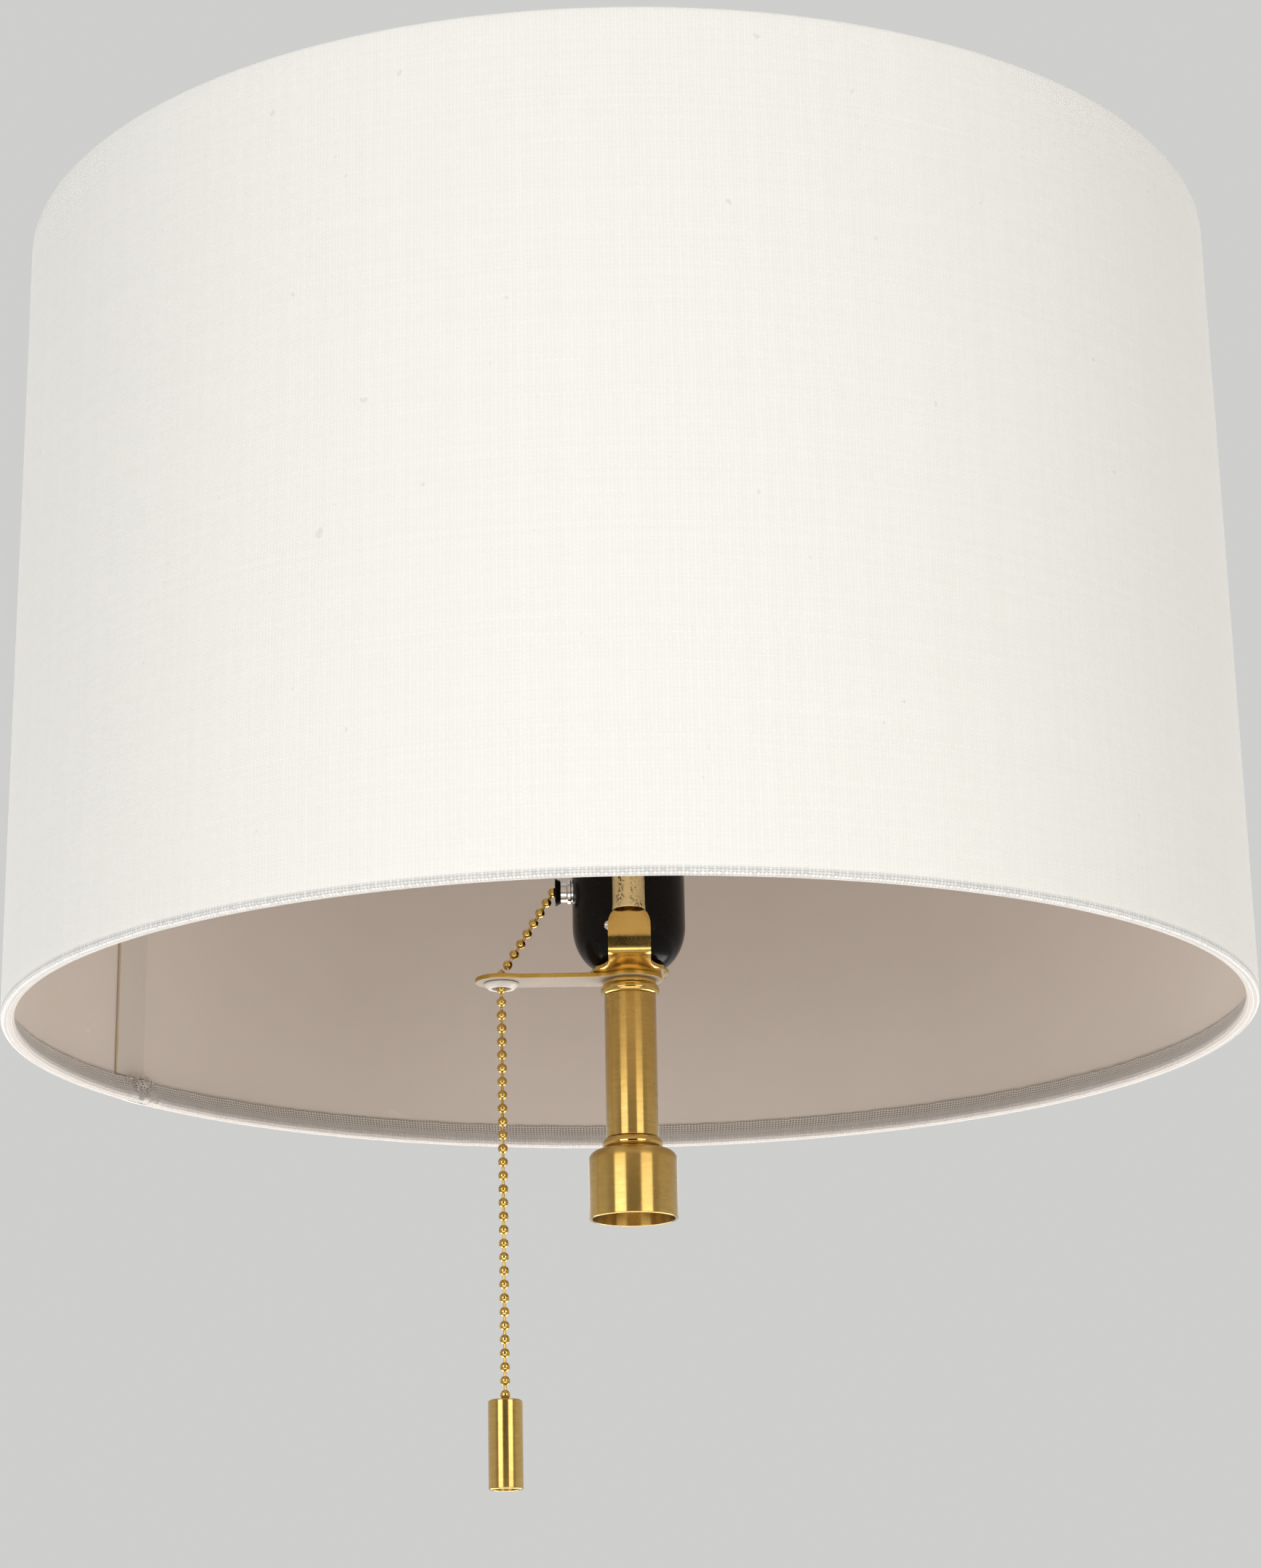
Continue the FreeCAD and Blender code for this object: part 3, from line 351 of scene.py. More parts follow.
def new_finish(name, **settings):
    """A material with one shader; the settings go on the shader's own sockets."""
    finish = bpy.data.materials.new(name)
    finish.use_nodes = True
    tree = finish.node_tree
    shader = tree.nodes["Principled BSDF"]
    for key, value in settings.items():
        shader.inputs[key.replace("_", " ")].default_value = value
    return finish, tree, shader


# ---------------------------------------------------------------- shared effects

def make_weave_group():
    """Plain weave on a map in metres: thread height, thread tone and the holes between."""
    tree, given, made = new_group(
        "Plain weave",
        [("Map", "NodeSocketVector", None),
         ("Warp pitch", "NodeSocketFloat", 1.08 * MM),
         ("Weft pitch", "NodeSocketFloat", 0.65 * MM),
         ("Waver", "NodeSocketFloat", 0.12)],
        [("Height", "NodeSocketFloat"), ("Tone", "NodeSocketFloat"), ("Holes", "NodeSocketFloat")])
    split = node(tree, "ShaderNodeSeparateXYZ", {0: given["Map"]})
    across = maths(tree, "DIVIDE", split.outputs["X"], given["Warp pitch"])
    up = maths(tree, "DIVIDE", split.outputs["Y"], given["Weft pitch"])
    drift = noise_at(tree, stretched(tree, given["Map"], (60, 60, 60)), 1, 3)
    drift = maths(tree, "MULTIPLY", maths(tree, "SUBTRACT", drift, 0.5), given["Waver"])
    sway = noise_at(tree, stretched(tree, given["Map"], (25, 900, 1)), 1, 1)
    across = maths(tree, "ADD", across, maths(tree, "MULTIPLY", drift, 6.0))
    up = maths(tree, "ADD", up, maths(tree, "MULTIPLY", drift, 8.0))
    warp = maths(tree, "SINE", maths(tree, "MULTIPLY", across, math.pi))
    weft = maths(tree, "SINE", maths(tree, "MULTIPLY", up, math.pi))
    crossing = maths(tree, "MULTIPLY", warp, weft)
    height = maths(tree, "POWER", maths(tree, "ABSOLUTE", crossing), 0.6)
    over = ramp(tree, crossing, -0.35, 0.35)
    warp_id = node(tree, "ShaderNodeTexWhiteNoise", {"W": maths(tree, "FLOOR", across)},
                   noise_dimensions="1D")
    weft_id = node(tree, "ShaderNodeTexWhiteNoise", {"W": maths(tree, "FLOOR", up)},
                   noise_dimensions="1D")
    warp_tone = maths(tree, "MULTIPLY_ADD", warp_id.outputs["Value"], 0.34, 0.33)
    weft_tone = maths(tree, "MULTIPLY_ADD", weft_id.outputs["Value"], 0.34, 0.33)
    slub = ramp(tree, sway, 0.62, 0.80, 0.0, 0.5)
    weft_tone = maths(tree, "ADD", weft_tone, slub)
    blend = node(tree, "ShaderNodeMix", {0: over, 2: weft_tone, 3: warp_tone}, data_type="FLOAT")
    tree.links.new(height, made["Height"])
    tree.links.new(blend.outputs[0], made["Tone"])
    open_across = maths(tree, "ABSOLUTE", warp)
    open_up = maths(tree, "ABSOLUTE", weft)
    gap = maths(tree, "MAXIMUM", open_across, open_up)
    tree.links.new(ramp(tree, gap, 0.85, 0.42), made["Holes"])
    return tree


def make_wear_group():
    """Handling marks on a hard surface: soft smudges and fine scattered specks."""
    tree, given, made = new_group(
        "Handling wear",
        [("Place", "NodeSocketVector", None),
         ("Smudge scale", "NodeSocketFloat", 120.0),
         ("Speck scale", "NodeSocketFloat", 1500.0),
         ("Speck share", "NodeSocketFloat", 0.05)],
        [("Smudges", "NodeSocketFloat"), ("Specks", "NodeSocketFloat")])
    soft = noise_at(tree, given["Place"], given["Smudge scale"], 4, 0.6)
    fine = noise_at(tree, given["Place"], given["Speck scale"], 3, 0.65)
    edge = maths(tree, "SUBTRACT", 0.72, maths(tree, "MULTIPLY", given["Speck share"], 2.4))
    specks = maths(tree, "MULTIPLY", maths(tree, "SUBTRACT", fine, edge), 14.0)
    clamp = node(tree, "ShaderNodeClamp", {"Value": specks})
    tree.links.new(ramp(tree, soft, 0.35, 0.65), made["Smudges"])
    tree.links.new(clamp.outputs[0], made["Specks"])
    return tree


def make_lathe_group():
    """Fine turning lines that run round the Z axis, as a height and a tone."""
    tree, given, made = new_group(
        "Turning lines",
        [("Place", "NodeSocketVector", None), ("Lines", "NodeSocketFloat", 6000.0)],
        [("Height", "NodeSocketFloat"), ("Tone", "NodeSocketFloat")])
    scale = node(tree, "ShaderNodeCombineXYZ", {0: 60.0, 1: 60.0, 2: given["Lines"]})
    lines = noise_at(tree, stretched(tree, given["Place"], scale.outputs[0]), 1, 3, 0.6)
    broad = noise_at(tree, stretched(tree, given["Place"], (300, 300, 900)), 1, 2)
    tree.links.new(lines, made["Height"])
    both = maths(tree, "MULTIPLY_ADD", lines, 0.6, maths(tree, "MULTIPLY", broad, 0.4))
    tree.links.new(ramp(tree, both, 0.35, 0.65), made["Tone"])
    return tree


weave_group = make_weave_group()
wear_group = make_wear_group()
lathe_group = make_lathe_group()


# ---------------------------------------------------------------- finishes

def coordinates(tree, which="Object"):
    return tree.nodes.new("ShaderNodeTexCoord").outputs[which]


def put_bump(tree, shader, height, distance, strength=1.0):
    bump = node(tree, "ShaderNodeBump", {
        "Height": height,
        "Distance": distance,
        "Strength": strength,
    })
    tree.links.new(bump.outputs[0], shader.inputs["Normal"])


def make_cloth(name, light, thread, hole, pitch, shares, turn_at, turn_shade_tone, bump):
    """Woven cloth, with painted shade in the holes between its threads and on the band that turns
    over a ring.

    shares are how dark the painted shade in the holes is before and after the turn, which is at
    turn_at metres along the map's second axis. turn_shade_tone is the painted shade tone of the
    turned band; hole is also the colour of the scattered dark neps.
    """
    finish, tree, shader = new_finish(name, Roughness=0.88, Sheen_Weight=0.35,
                                      Sheen_Roughness=0.5, Specular_IOR_Level=0.25)
    plan = coordinates(tree, "UV")
    run = node(tree, "ShaderNodeSeparateXYZ", {0: plan}).outputs["Y"]
    past = ramp(tree, run, turn_at - 0.4 * MM, turn_at + 0.9 * MM)
    weave = use_group(tree, weave_group, {"Map": plan, "Warp pitch": pitch[0],
                                          "Weft pitch": pitch[1]})
    tone = ramp(tree, weave["Tone"], 0.1, 0.9)
    wall_colour = mixed(tree, tone, thread, light)
    # Painted shade: the band where the cloth turns under the ring is mixed toward a darker shaded
    # tone.
    turn_shaded_colour = mixed(tree, tone, turn_shade_tone, light)
    colour = mixed(tree, past, turn_shaded_colour, wall_colour)
    # Painted shade: the holes between the threads are darkened toward the hole colour, by the
    # shares before and after the turn.
    share = ramp(tree, past, 0.0, 1.0, shares[0], shares[1])
    colour = mixed(tree, maths(tree, "MULTIPLY", weave["Holes"], share), colour, hole)
    place = coordinates(tree)
    mottle = noise_at(tree, place, 14, 3)
    colour = mixed(tree, ramp(tree, mottle, 0.3, 0.7, 0.0, 0.10), colour, thread)
    # Neps: real dark fibre specks, drawn in the same hole colour.
    nep = noise_at(tree, place, 260, 1)
    colour = mixed(tree, ramp(tree, nep, 0.78, 0.81, 0.0, 0.18), colour, hole)
    tree.links.new(colour, shader.inputs["Base Color"])
    put_bump(tree, shader, weave["Height"], bump)
    return finish


def make_liner_finish():
    finish, tree, shader = new_finish("Liner styrene", Specular_IOR_Level=0.35)
    place = coordinates(tree)
    cloudy = noise_at(tree, place, 9, 4, 0.6)
    grain = noise_at(tree, place, 900, 2)
    colour = mixed(tree, ramp(tree, cloudy, 0.3, 0.7), (0.585, 0.515, 0.46), (0.62, 0.55, 0.495))
    scuffs = noise_at(tree, stretched(tree, place, (30, 30, 60)), 1, 5, 0.7)
    colour = mixed(tree, ramp(tree, scuffs, 0.66, 0.78, 0.0, 0.45), colour, (0.78, 0.73, 0.69))
    tree.links.new(colour, shader.inputs["Base Color"])
    tree.links.new(ramp(tree, cloudy, 0.3, 0.7, 0.52, 0.66), shader.inputs["Roughness"])
    put_bump(tree, shader, grain, 0.02 * MM)
    return finish


def make_seam_finish():
    """The lapped end of the liner with its line of aged glue along one edge."""
    finish, tree, shader = new_finish("Lapped liner end", Roughness=0.6)
    plan = node(tree, "ShaderNodeSeparateXYZ", {0: coordinates(tree, "UV")})
    place = coordinates(tree)
    waver = noise_at(tree, place, 150, 2)
    edge = maths(tree, "MULTIPLY_ADD", waver, 0.9 * MM, plan.outputs["X"])
    glue = ramp(tree, edge, 1.5 * MM, 1.0 * MM)
    cloudy = noise_at(tree, place, 12, 3)
    colour = mixed(tree, ramp(tree, cloudy, 0.3, 0.7), (0.54, 0.485, 0.425), (0.57, 0.515, 0.455))
    colour = mixed(tree, maths(tree, "MULTIPLY", glue, 0.8), colour, (0.44, 0.31, 0.18))
    tree.links.new(colour, shader.inputs["Base Color"])
    put_bump(tree, shader, waver, 0.05 * MM)
    return finish


def make_satin_brass():
    finish, tree, shader = new_finish("Satin brass", Metallic=1.0, Anisotropic=0.95,
                                      Anisotropic_Rotation=0.25, Coat_Weight=0.35,
                                      Coat_Roughness=0.14)
    around = node(tree, "ShaderNodeTangent", direction_type="RADIAL", axis="Z")
    tree.links.new(around.outputs[0], shader.inputs["Tangent"])
    place = coordinates(tree)
    lathe = use_group(tree, lathe_group, {"Place": place, "Lines": 5200.0})
    wear = use_group(tree, wear_group, {"Place": place, "Smudge scale": 70.0})
    colour = mixed(tree, lathe["Tone"], (0.52, 0.335, 0.085), (0.63, 0.42, 0.125))
    colour = mixed(tree, maths(tree, "MULTIPLY", wear["Smudges"], 0.3), colour, (0.40, 0.25, 0.06))
    tree.links.new(colour, shader.inputs["Base Color"])
    rough = maths(tree, "MULTIPLY_ADD", wear["Smudges"], 0.03, 0.25)
    tree.links.new(rough, shader.inputs["Roughness"])
    put_bump(tree, shader, lathe["Height"], 0.0025 * MM)
    return finish


def make_arm_brass():
    """Gold edges and top; the downward-facing underside gets a painted dull pale tone that stands
    in for how it is lit.
    """
    finish, tree, shader = new_finish("Arm brass")
    place = coordinates(tree)
    facing = node(tree, "ShaderNodeSeparateXYZ", {0: coordinates(tree, "Normal")}).outputs["Z"]
    # Painted light: faces that point down are picked by their normals.
    under = ramp(tree, facing, -0.75, -0.95)
    wear = use_group(tree, wear_group, {"Place": place, "Speck scale": 2200.0})
    gold = mixed(tree, wear["Smudges"], (0.60, 0.39, 0.10), (0.50, 0.32, 0.075))
    # Painted shade and reflection: the dull pale underside tone, also made less metallic and
    # rougher below.
    pale = mixed(tree, wear["Smudges"], (0.27, 0.23, 0.19), (0.245, 0.205, 0.17))
    colour = mixed(tree, under, gold, pale)
    colour = mixed(tree, maths(tree, "MULTIPLY", wear["Specks"], 0.5), colour, (0.14, 0.09, 0.04))
    tree.links.new(colour, shader.inputs["Base Color"])
    tree.links.new(ramp(tree, under, 0.0, 1.0, 1.0, 0.15), shader.inputs["Metallic"])
    tree.links.new(ramp(tree, under, 0.0, 1.0, 0.30, 0.62), shader.inputs["Roughness"])
    put_bump(tree, shader, wear["Smudges"], 0.02 * MM)
    return finish


def make_aged_brass():
    """Thin pale plating with dark pinholes that gather in streaks."""
    finish, tree, shader = new_finish("Aged brass plating", Metallic=1.0)
    place = coordinates(tree)
    wear = use_group(tree, wear_group, {"Place": place, "Speck scale": 1300.0,
                                        "Speck share": 0.095})
    streak = noise_at(tree, stretched(tree, place, (420, 420, 110)), 1, 3)
    pits = maths(tree, "MULTIPLY", wear["Specks"], ramp(tree, streak, 0.45, 0.62))
    colour = mixed(tree, wear["Smudges"], (0.82, 0.68, 0.38), (0.74, 0.59, 0.30))
    colour = mixed(tree, maths(tree, "MULTIPLY", pits, 0.92), colour, (0.05, 0.035, 0.02))
    tree.links.new(colour, shader.inputs["Base Color"])
    rough = maths(tree, "MULTIPLY_ADD", pits, 0.3, 0.36)
    tree.links.new(rough, shader.inputs["Roughness"])
    put_bump(tree, shader, maths(tree, "SUBTRACT", 1.0, pits), 0.02 * MM)
    return finish


def make_worn_finish(name, tones, speck, rough, bump, wear, raised="Smudges", **settings):
    """A hard surface with smudges between two tones and specks of a third.

    speck is (strength, colour), rough is what smudges add, the roughness they add it to
    and what specks add, and bump is how high the raised marks stand.
    """
    finish, tree, shader = new_finish(name, **settings)
    marks = use_group(tree, wear_group, {"Place": coordinates(tree), **wear})
    colour = mixed(tree, marks["Smudges"], *tones)
    share = maths(tree, "MULTIPLY", marks["Specks"], speck[0])
    tree.links.new(mixed(tree, share, colour, speck[1]), shader.inputs["Base Color"])
    if rough:
        added, base, by_specks = rough
        value = maths(tree, "MULTIPLY_ADD", marks["Smudges"], added, base)
        if by_specks:
            value = maths(tree, "MULTIPLY_ADD", marks["Specks"], by_specks, value)
        tree.links.new(value, shader.inputs["Roughness"])
    put_bump(tree, shader, marks[raised], bump)
    return finish


def make_nickel(name, light, dark, rough_from):
    """Plated steel in one of its tones."""
    return make_worn_finish(name, (light, dark), (0.5, (0.08, 0.07, 0.06)),
                            (0.10, rough_from, 0.0), 0.01 * MM,
                            {"Smudge scale": 260.0, "Speck share": 0.045},
                            raised="Specks", Metallic=1.0)


def make_nylon():
    finish, tree, shader = new_finish("Eyelet nylon", Roughness=0.34, IOR=1.5)
    place = coordinates(tree)
    cloudy = noise_at(tree, place, 300, 3)
    colour = mixed(tree, ramp(tree, cloudy, 0.3, 0.7), (0.50, 0.455, 0.42), (0.58, 0.535, 0.50))
    tree.links.new(colour, shader.inputs["Base Color"])
    put_bump(tree, shader, cloudy, 0.03 * MM)
    return finish


# Third colour: painted shade in the holes between threads, also the neps' colour; second-last
# colour: painted shade tone of the band turned over the ring.
linen = make_cloth("Shade linen", (0.885, 0.88, 0.85), (0.83, 0.82, 0.785),
                   (0.34, 0.335, 0.335), (1.08 * MM, 0.65 * MM), (0.80, 0.09), 2.9 * MM,
                   (0.44, 0.44, 0.455), 0.10 * MM)
hem_linen = make_cloth("Hem linen", (0.60, 0.55, 0.505), (0.50, 0.455, 0.41),
                       (0.07, 0.055, 0.045), (1.10 * MM, 0.93 * MM), (0.22, 0.95), 6.2 * MM,
                       (0.45, 0.435, 0.435), 0.16 * MM)
liner_finish = make_liner_finish()
seam_finish = make_seam_finish()
satin_brass = make_satin_brass()
polished_brass = make_worn_finish(
    "Polished brass", ((0.66, 0.44, 0.13), (0.58, 0.38, 0.11)), (0.55, (0.16, 0.09, 0.03)),
    (0.07, 0.10, 0.3), 0.02 * MM, {"Speck scale": 2200.0, "Speck share": 0.035}, Metallic=1.0)
arm_brass = make_arm_brass()
aged_brass = make_aged_brass()
chain_brass = make_worn_finish(
    "Chain brass", ((0.66, 0.45, 0.14), (0.52, 0.33, 0.085)), (0.6, (0.10, 0.05, 0.02)),
    (0.06, 0.12, 0.0), 0.03 * MM, {"Smudge scale": 420.0, "Speck share": 0.04}, Metallic=1.0)
black_plastic = make_worn_finish(
    "Black moulded plastic", ((0.0035, 0.003, 0.003), (0.006, 0.005, 0.0045)),
    (0.3, (0.10, 0.09, 0.08)), (0.10, 0.16, 0.0), 0.04 * MM,
    {"Smudge scale": 55.0, "Speck share": 0.03}, IOR=1.46, Specular_IOR_Level=0.11)
nickel = make_nickel("Nickel plate", (0.70, 0.68, 0.65), (0.58, 0.56, 0.53), 0.12)
zinc_steel = make_nickel("Zinc plated steel", (0.52, 0.52, 0.52), (0.40, 0.40, 0.40), 0.34)
spider_steel = make_nickel("Spider steel", (0.62, 0.60, 0.56), (0.52, 0.50, 0.46), 0.30)
harp_plating = make_nickel("Harp plating", (0.62, 0.47, 0.20), (0.52, 0.38, 0.15), 0.24)
nylon = make_nylon()
painted_wire = make_worn_finish(
    "White coated wire", ((0.74, 0.72, 0.68), (0.68, 0.66, 0.61)), (0.4, (0.3, 0.27, 0.22)),
    None, 0.03 * MM, {"Speck share": 0.03}, Roughness=0.45)


# ---------------------------------------------------------------- shade

def cloth_round(name, line, thick, columns, ripple):
    """Cloth of an even thickness carried once round the axis, with a map in metres.

    The line gives the cloth's middle as (radius, height); both faces follow it, moved
    by what ripple gives for the turn and the run along the line.
    """
    shape = bmesh.new()
    plan = shape.loops.layers.uv.new("UVMap")
    runs = [0.0]
    for before, after in zip(line, line[1:]):
        runs.append(runs[-1] + (after - before).length)
    sides = []
    for index, point in enumerate(line):
        ahead = line[min(index + 1, len(line) - 1)] - line[max(index - 1, 0)]
        ahead.normalize()
        sides.append(Vector((ahead.y, -ahead.x)))
    faces_of = []
    for face in (0.5, -0.5):
        faces_of.append([(point + side * (thick * face), run)
                         for point, side, run in zip(line, sides, runs)])
    loop = faces_of[0] + faces_of[1][::-1]
    middle_radius = sum(point.x for point in line) / len(line)
    grid = []
    for column in range(columns):
        turn = 2 * math.pi * column / columns
        ring = []
        for point, run in loop:
            spot = point + ripple(turn, run, runs[-1])
            ring.append(shape.verts.new((spot.x * math.cos(turn), spot.x * math.sin(turn),
                                         spot.y)))
        grid.append(ring)
    count = len(loop)
    for column in range(columns):
        after = (column + 1) % columns
        for row in range(count):
            above = (row + 1) % count
            face = shape.faces.new((grid[column][row], grid[after][row],
                                    grid[after][above], grid[column][above]))
            spots = ((column, row), (column + 1, row), (column + 1, above), (column, above))
            for corner, (around, level) in zip(face.loops, spots):
                along = 2 * math.pi * around / columns * middle_radius
                corner[plan].uv = (along, loop[level][1])
    return finish_mesh(name, shape, 40)


cover_place = Place("shade_cover")
liner_place = Place("shade_liner")
bottom_ring = Place("bottom_ring")
top_ring = Place("top_ring")
COVER_THICK = 0.6 * MM
LINER_THICK = 0.5 * MM
HEM_THICK = 0.6 * MM
bottom_z = cover_place.low.z
top_z = cover_place.high.z
bottom_radius = cover_place.radius
top_radius = bottom_radius - 5 * MM


def wall_radius(height, inset):
    """Radius of the shade's wall at a height, less a depth into the wall."""
    share = (height - bottom_z) / (top_z - bottom_z)
    return bottom_radius + (top_radius - bottom_radius) * share - inset


def cover_ripple(turn, run, length):
    """Slight unevenness of hand-rolled cloth, and its lapped end at the back."""
    swell = noise.noise(Vector((math.cos(turn) * 1.5, math.sin(turn) * 1.5, run * 8)))
    edge = min(run, length - run)
    fine = noise.noise(Vector((math.cos(turn) * 30, math.sin(turn) * 30, run * 40)))
    push = swell * 0.25 * MM + fine * 0.08 * MM * max(0, 1 - edge / (12 * MM))
    lap_width = 3.4
    lap = (math.degrees(turn) - SEAM_TURN) % 360
    if lap < lap_width:
        push += COVER_THICK * min(1, (lap_width - lap) / 1.2) * min(1, lap / 0.3)
    return Vector((push, 0))


def make_cover():
    """Cloth outside the liner, turned a little inwards over each ring."""
    inset = COVER_THICK / 2
    roll = 1.1 * MM
    corners = [
        (wall_radius(bottom_z, inset) - 2.0 * MM, bottom_z + inset, 0),
        (wall_radius(bottom_z, inset), bottom_z + inset, roll),
        (wall_radius(top_z, inset), top_z - inset, roll),
        (wall_radius(top_z, inset) - 2.0 * MM, top_z - inset, 0),
    ]
    rolled = rounded(corners, 6, closed=False)
    low_end = rolled[:8]
    high_end = rolled[8:]
    rows = 44
    wall = [low_end[-1].lerp(high_end[0], row / rows) for row in range(1, rows)]
    cover = cloth_round("shade_cover_cloth", low_end + wall + high_end, COVER_THICK, 720,
                        cover_ripple)
    return worn(cover, linen, "shade", "shade_cover")


def hem_line(ring, upward):
    """Middle of the hem cloth: in under the ring, round it, then up to the liner."""
    way = 1 if upward else -1
    wrap = RING_WIRE + 0.05 * MM + HEM_THICK / 2
    edge_z = bottom_z if upward else top_z
    reach = (ring.high.x - ring.low.x) / 2 - RING_WIRE
    middle = (ring.low.z + ring.high.z) / 2
    hem_height = 8.0 * MM
    wrapped = 112
    cut = edge_z + way * hem_height
    face = wall_radius(cut, COVER_THICK + LINER_THICK + 0.2 * MM) - HEM_THICK / 2
    points = [Vector((reach + 1.2 * MM, edge_z + way * HEM_THICK / 2))]
    for step in range(9):
        turn = math.radians(wrapped * step / 8)
        points.append(Vector((reach - wrap * math.sin(turn),
                              middle - way * wrap * math.cos(turn))))
    start = points[-1]
    stuck = Vector((face, cut))
    for step in range(1, 9):
        share = step / 8
        point = start.lerp(stuck, share)
        sag = math.sin(share * math.pi) * 0.35 * MM
        points.append(point + Vector((sag, 0)))
    return points


def hem_ripple(turn, run, length):
    """The hem's cut edge frays and its stuck face puckers where the cloth is gathered."""
    near_edge = max(0.0, run / length - 0.55) / 0.45
    around = Vector((math.cos(turn), math.sin(turn), 0))
    fray = noise.noise(around * 95) * 0.55 + noise.noise(around * 240) * 0.3
    pucker = noise.noise(around * 42 + Vector((0, 0, run * 150)))
    joint = abs((math.degrees(turn) - HEM_JOINT_TURN + 180) % 360 - 180)
    gather = math.exp(-(joint / 2.4) ** 2)
    lump = noise.noise(around * 160 + Vector((0, 0, run * 400))) * 1.2 + 0.7
    inward = near_edge * max(0, pucker) * 0.35 + gather * lump * 1.9
    return Vector((-inward * MM, fray * near_edge * 0.6 * MM))


def with_frayed_ends(hem, edge):
    """Adds the loose thread ends that stand out where the hem's two ends meet."""
    name = hem.name
    woven = len(hem.data.polygons)
    pick = random.Random(11)
    threads = []
    count = 46
    spread = 2.3
    steps = 6
    for number in range(count):
        turn = math.radians(HEM_JOINT_TURN + pick.uniform(-spread, spread))
        drop = pick.uniform(-0.3, 5.0) * MM
        lean = pick.uniform(-1, 1)
        length = pick.uniform(1.6, 3.6) * MM
        out = pick.uniform(0.5, 1.5) * MM
        points = []
        for step in range(steps + 1):
            share = step / steps
            reach = edge.x - 0.5 * MM - out * math.sin(share * math.pi * 0.8)
            along = turn + lean * length * math.sin(share * 1.6) / edge.x
            height = edge.y - drop + length * (0.7 - abs(lean) * 0.5) * share
            points.append(Vector((reach * math.cos(along), reach * math.sin(along), height)))
        threads.append(tube_along(f"thread_{number}", points, 0.15 * MM, sides=6))
    hem.name = "woven_hem"
    hem = joined(name, hem, *threads)
    plan = hem.data.uv_layers["UVMap"].data
    thread_spot = (0.55 * MM, 8.835 * MM)
    for face in hem.data.polygons[woven:]:
        for loop in face.loop_indices:
            plan[loop].uv = thread_spot
    return hem


def make_hems():
    """The two hems, which turn in over the rings and stick to the liner."""
    for name, ring, upward, node_name in (
        ("bottom_hem_cloth", bottom_ring, True, "bottom_hem"),
        ("top_hem_cloth", top_ring, False, "top_hem"),
    ):
        line = hem_line(ring, upward)

        def ripple(turn, run, length, upward=upward):
            push = hem_ripple(turn, run, length)
            return push if upward else Vector((push.x * 0.5, -push.y))

        hem = cloth_round(name, line, HEM_THICK, 1080, ripple)
        if upward:
            hem = with_frayed_ends(hem, line[-1])
        worn(hem, hem_linen, "shade", node_name)


def make_liner():
    """The stiff cone that the cover is stuck to, with its edges broken."""
    low = liner_place.low.z
    high = liner_place.high.z
    outer = COVER_THICK + 0.05 * MM
    inner = outer + LINER_THICK
    edge = 0.1 * MM
    rows = 24
    outside = [(wall_radius(low + (high - low) * row / rows, outer),
                low + (high - low) * row / rows) for row in range(rows + 1)]
    inside = [(wall_radius(z, inner), z) for _, z in reversed(outside)]
    corners = [(radius, height, edge if index in (0, rows, rows + 1, rows * 2 + 1) else 0)
               for index, (radius, height) in enumerate(outside + inside)]
    turned_part("shade_liner_sheet", corners, liner_finish, "shade", "liner", "shade_liner",
                sides=360, steps=2)


def make_side_seam():
    """Lapped end of the liner: a thin upright strip with a map across its width."""
    place = Place("side_seam")
    low = place.low.z
    high = place.high.z
    width = 16 * MM
    thick = 0.4 * MM
    shape = bmesh.new()
    plan = shape.loops.layers.uv.new("UVMap")
    rows = 60
    columns = 8
    inset = COVER_THICK + LINER_THICK + 0.2 * MM
    start = math.radians(SEAM_TURN)
    spread = width / wall_radius(low, inset)
    edge = 0.12 * MM
    across = [(0, edge), (0.012, 0)] + [(step / columns, 0) for step in range(1, columns)]
    across += [(0.988, 0), (1, edge)]
    loop = [(share, inset + thick - rise) for share, rise in across]
    loop += [(share, inset) for share, _ in reversed(across)]
    grid = []
    for row in range(rows + 1):
        height = low + (high - low) * row / rows
        wave = noise.noise(Vector((0, 0, height * 60))) * 0.25 * MM
        ring = []
        for share, depth in loop:
            turn = start + spread * share + wave / wall_radius(height, 0)
            reach = wall_radius(height, depth)
            ring.append(shape.verts.new((reach * math.cos(turn), reach * math.sin(turn),
                                         height)))
        grid.append(ring)
    count = len(loop)
    for row in range(rows):
        for side in range(count):
            beside = (side + 1) % count
            face = shape.faces.new((grid[row][side], grid[row][beside],
                                    grid[row + 1][beside], grid[row + 1][side]))
            spots = ((row, side), (row, beside), (row + 1, beside), (row + 1, side))
            for corner, (level, spot) in zip(face.loops, spots):
                corner[plan].uv = ((1 - loop[spot][0]) * width,
                                   (high - low) * level / rows)
    shape.faces.new(grid[0])
    shape.faces.new(grid[-1])
    seam = finish_mesh("side_seam_strip", shape)
    worn(seam, seam_finish, "shade", "side_seam")


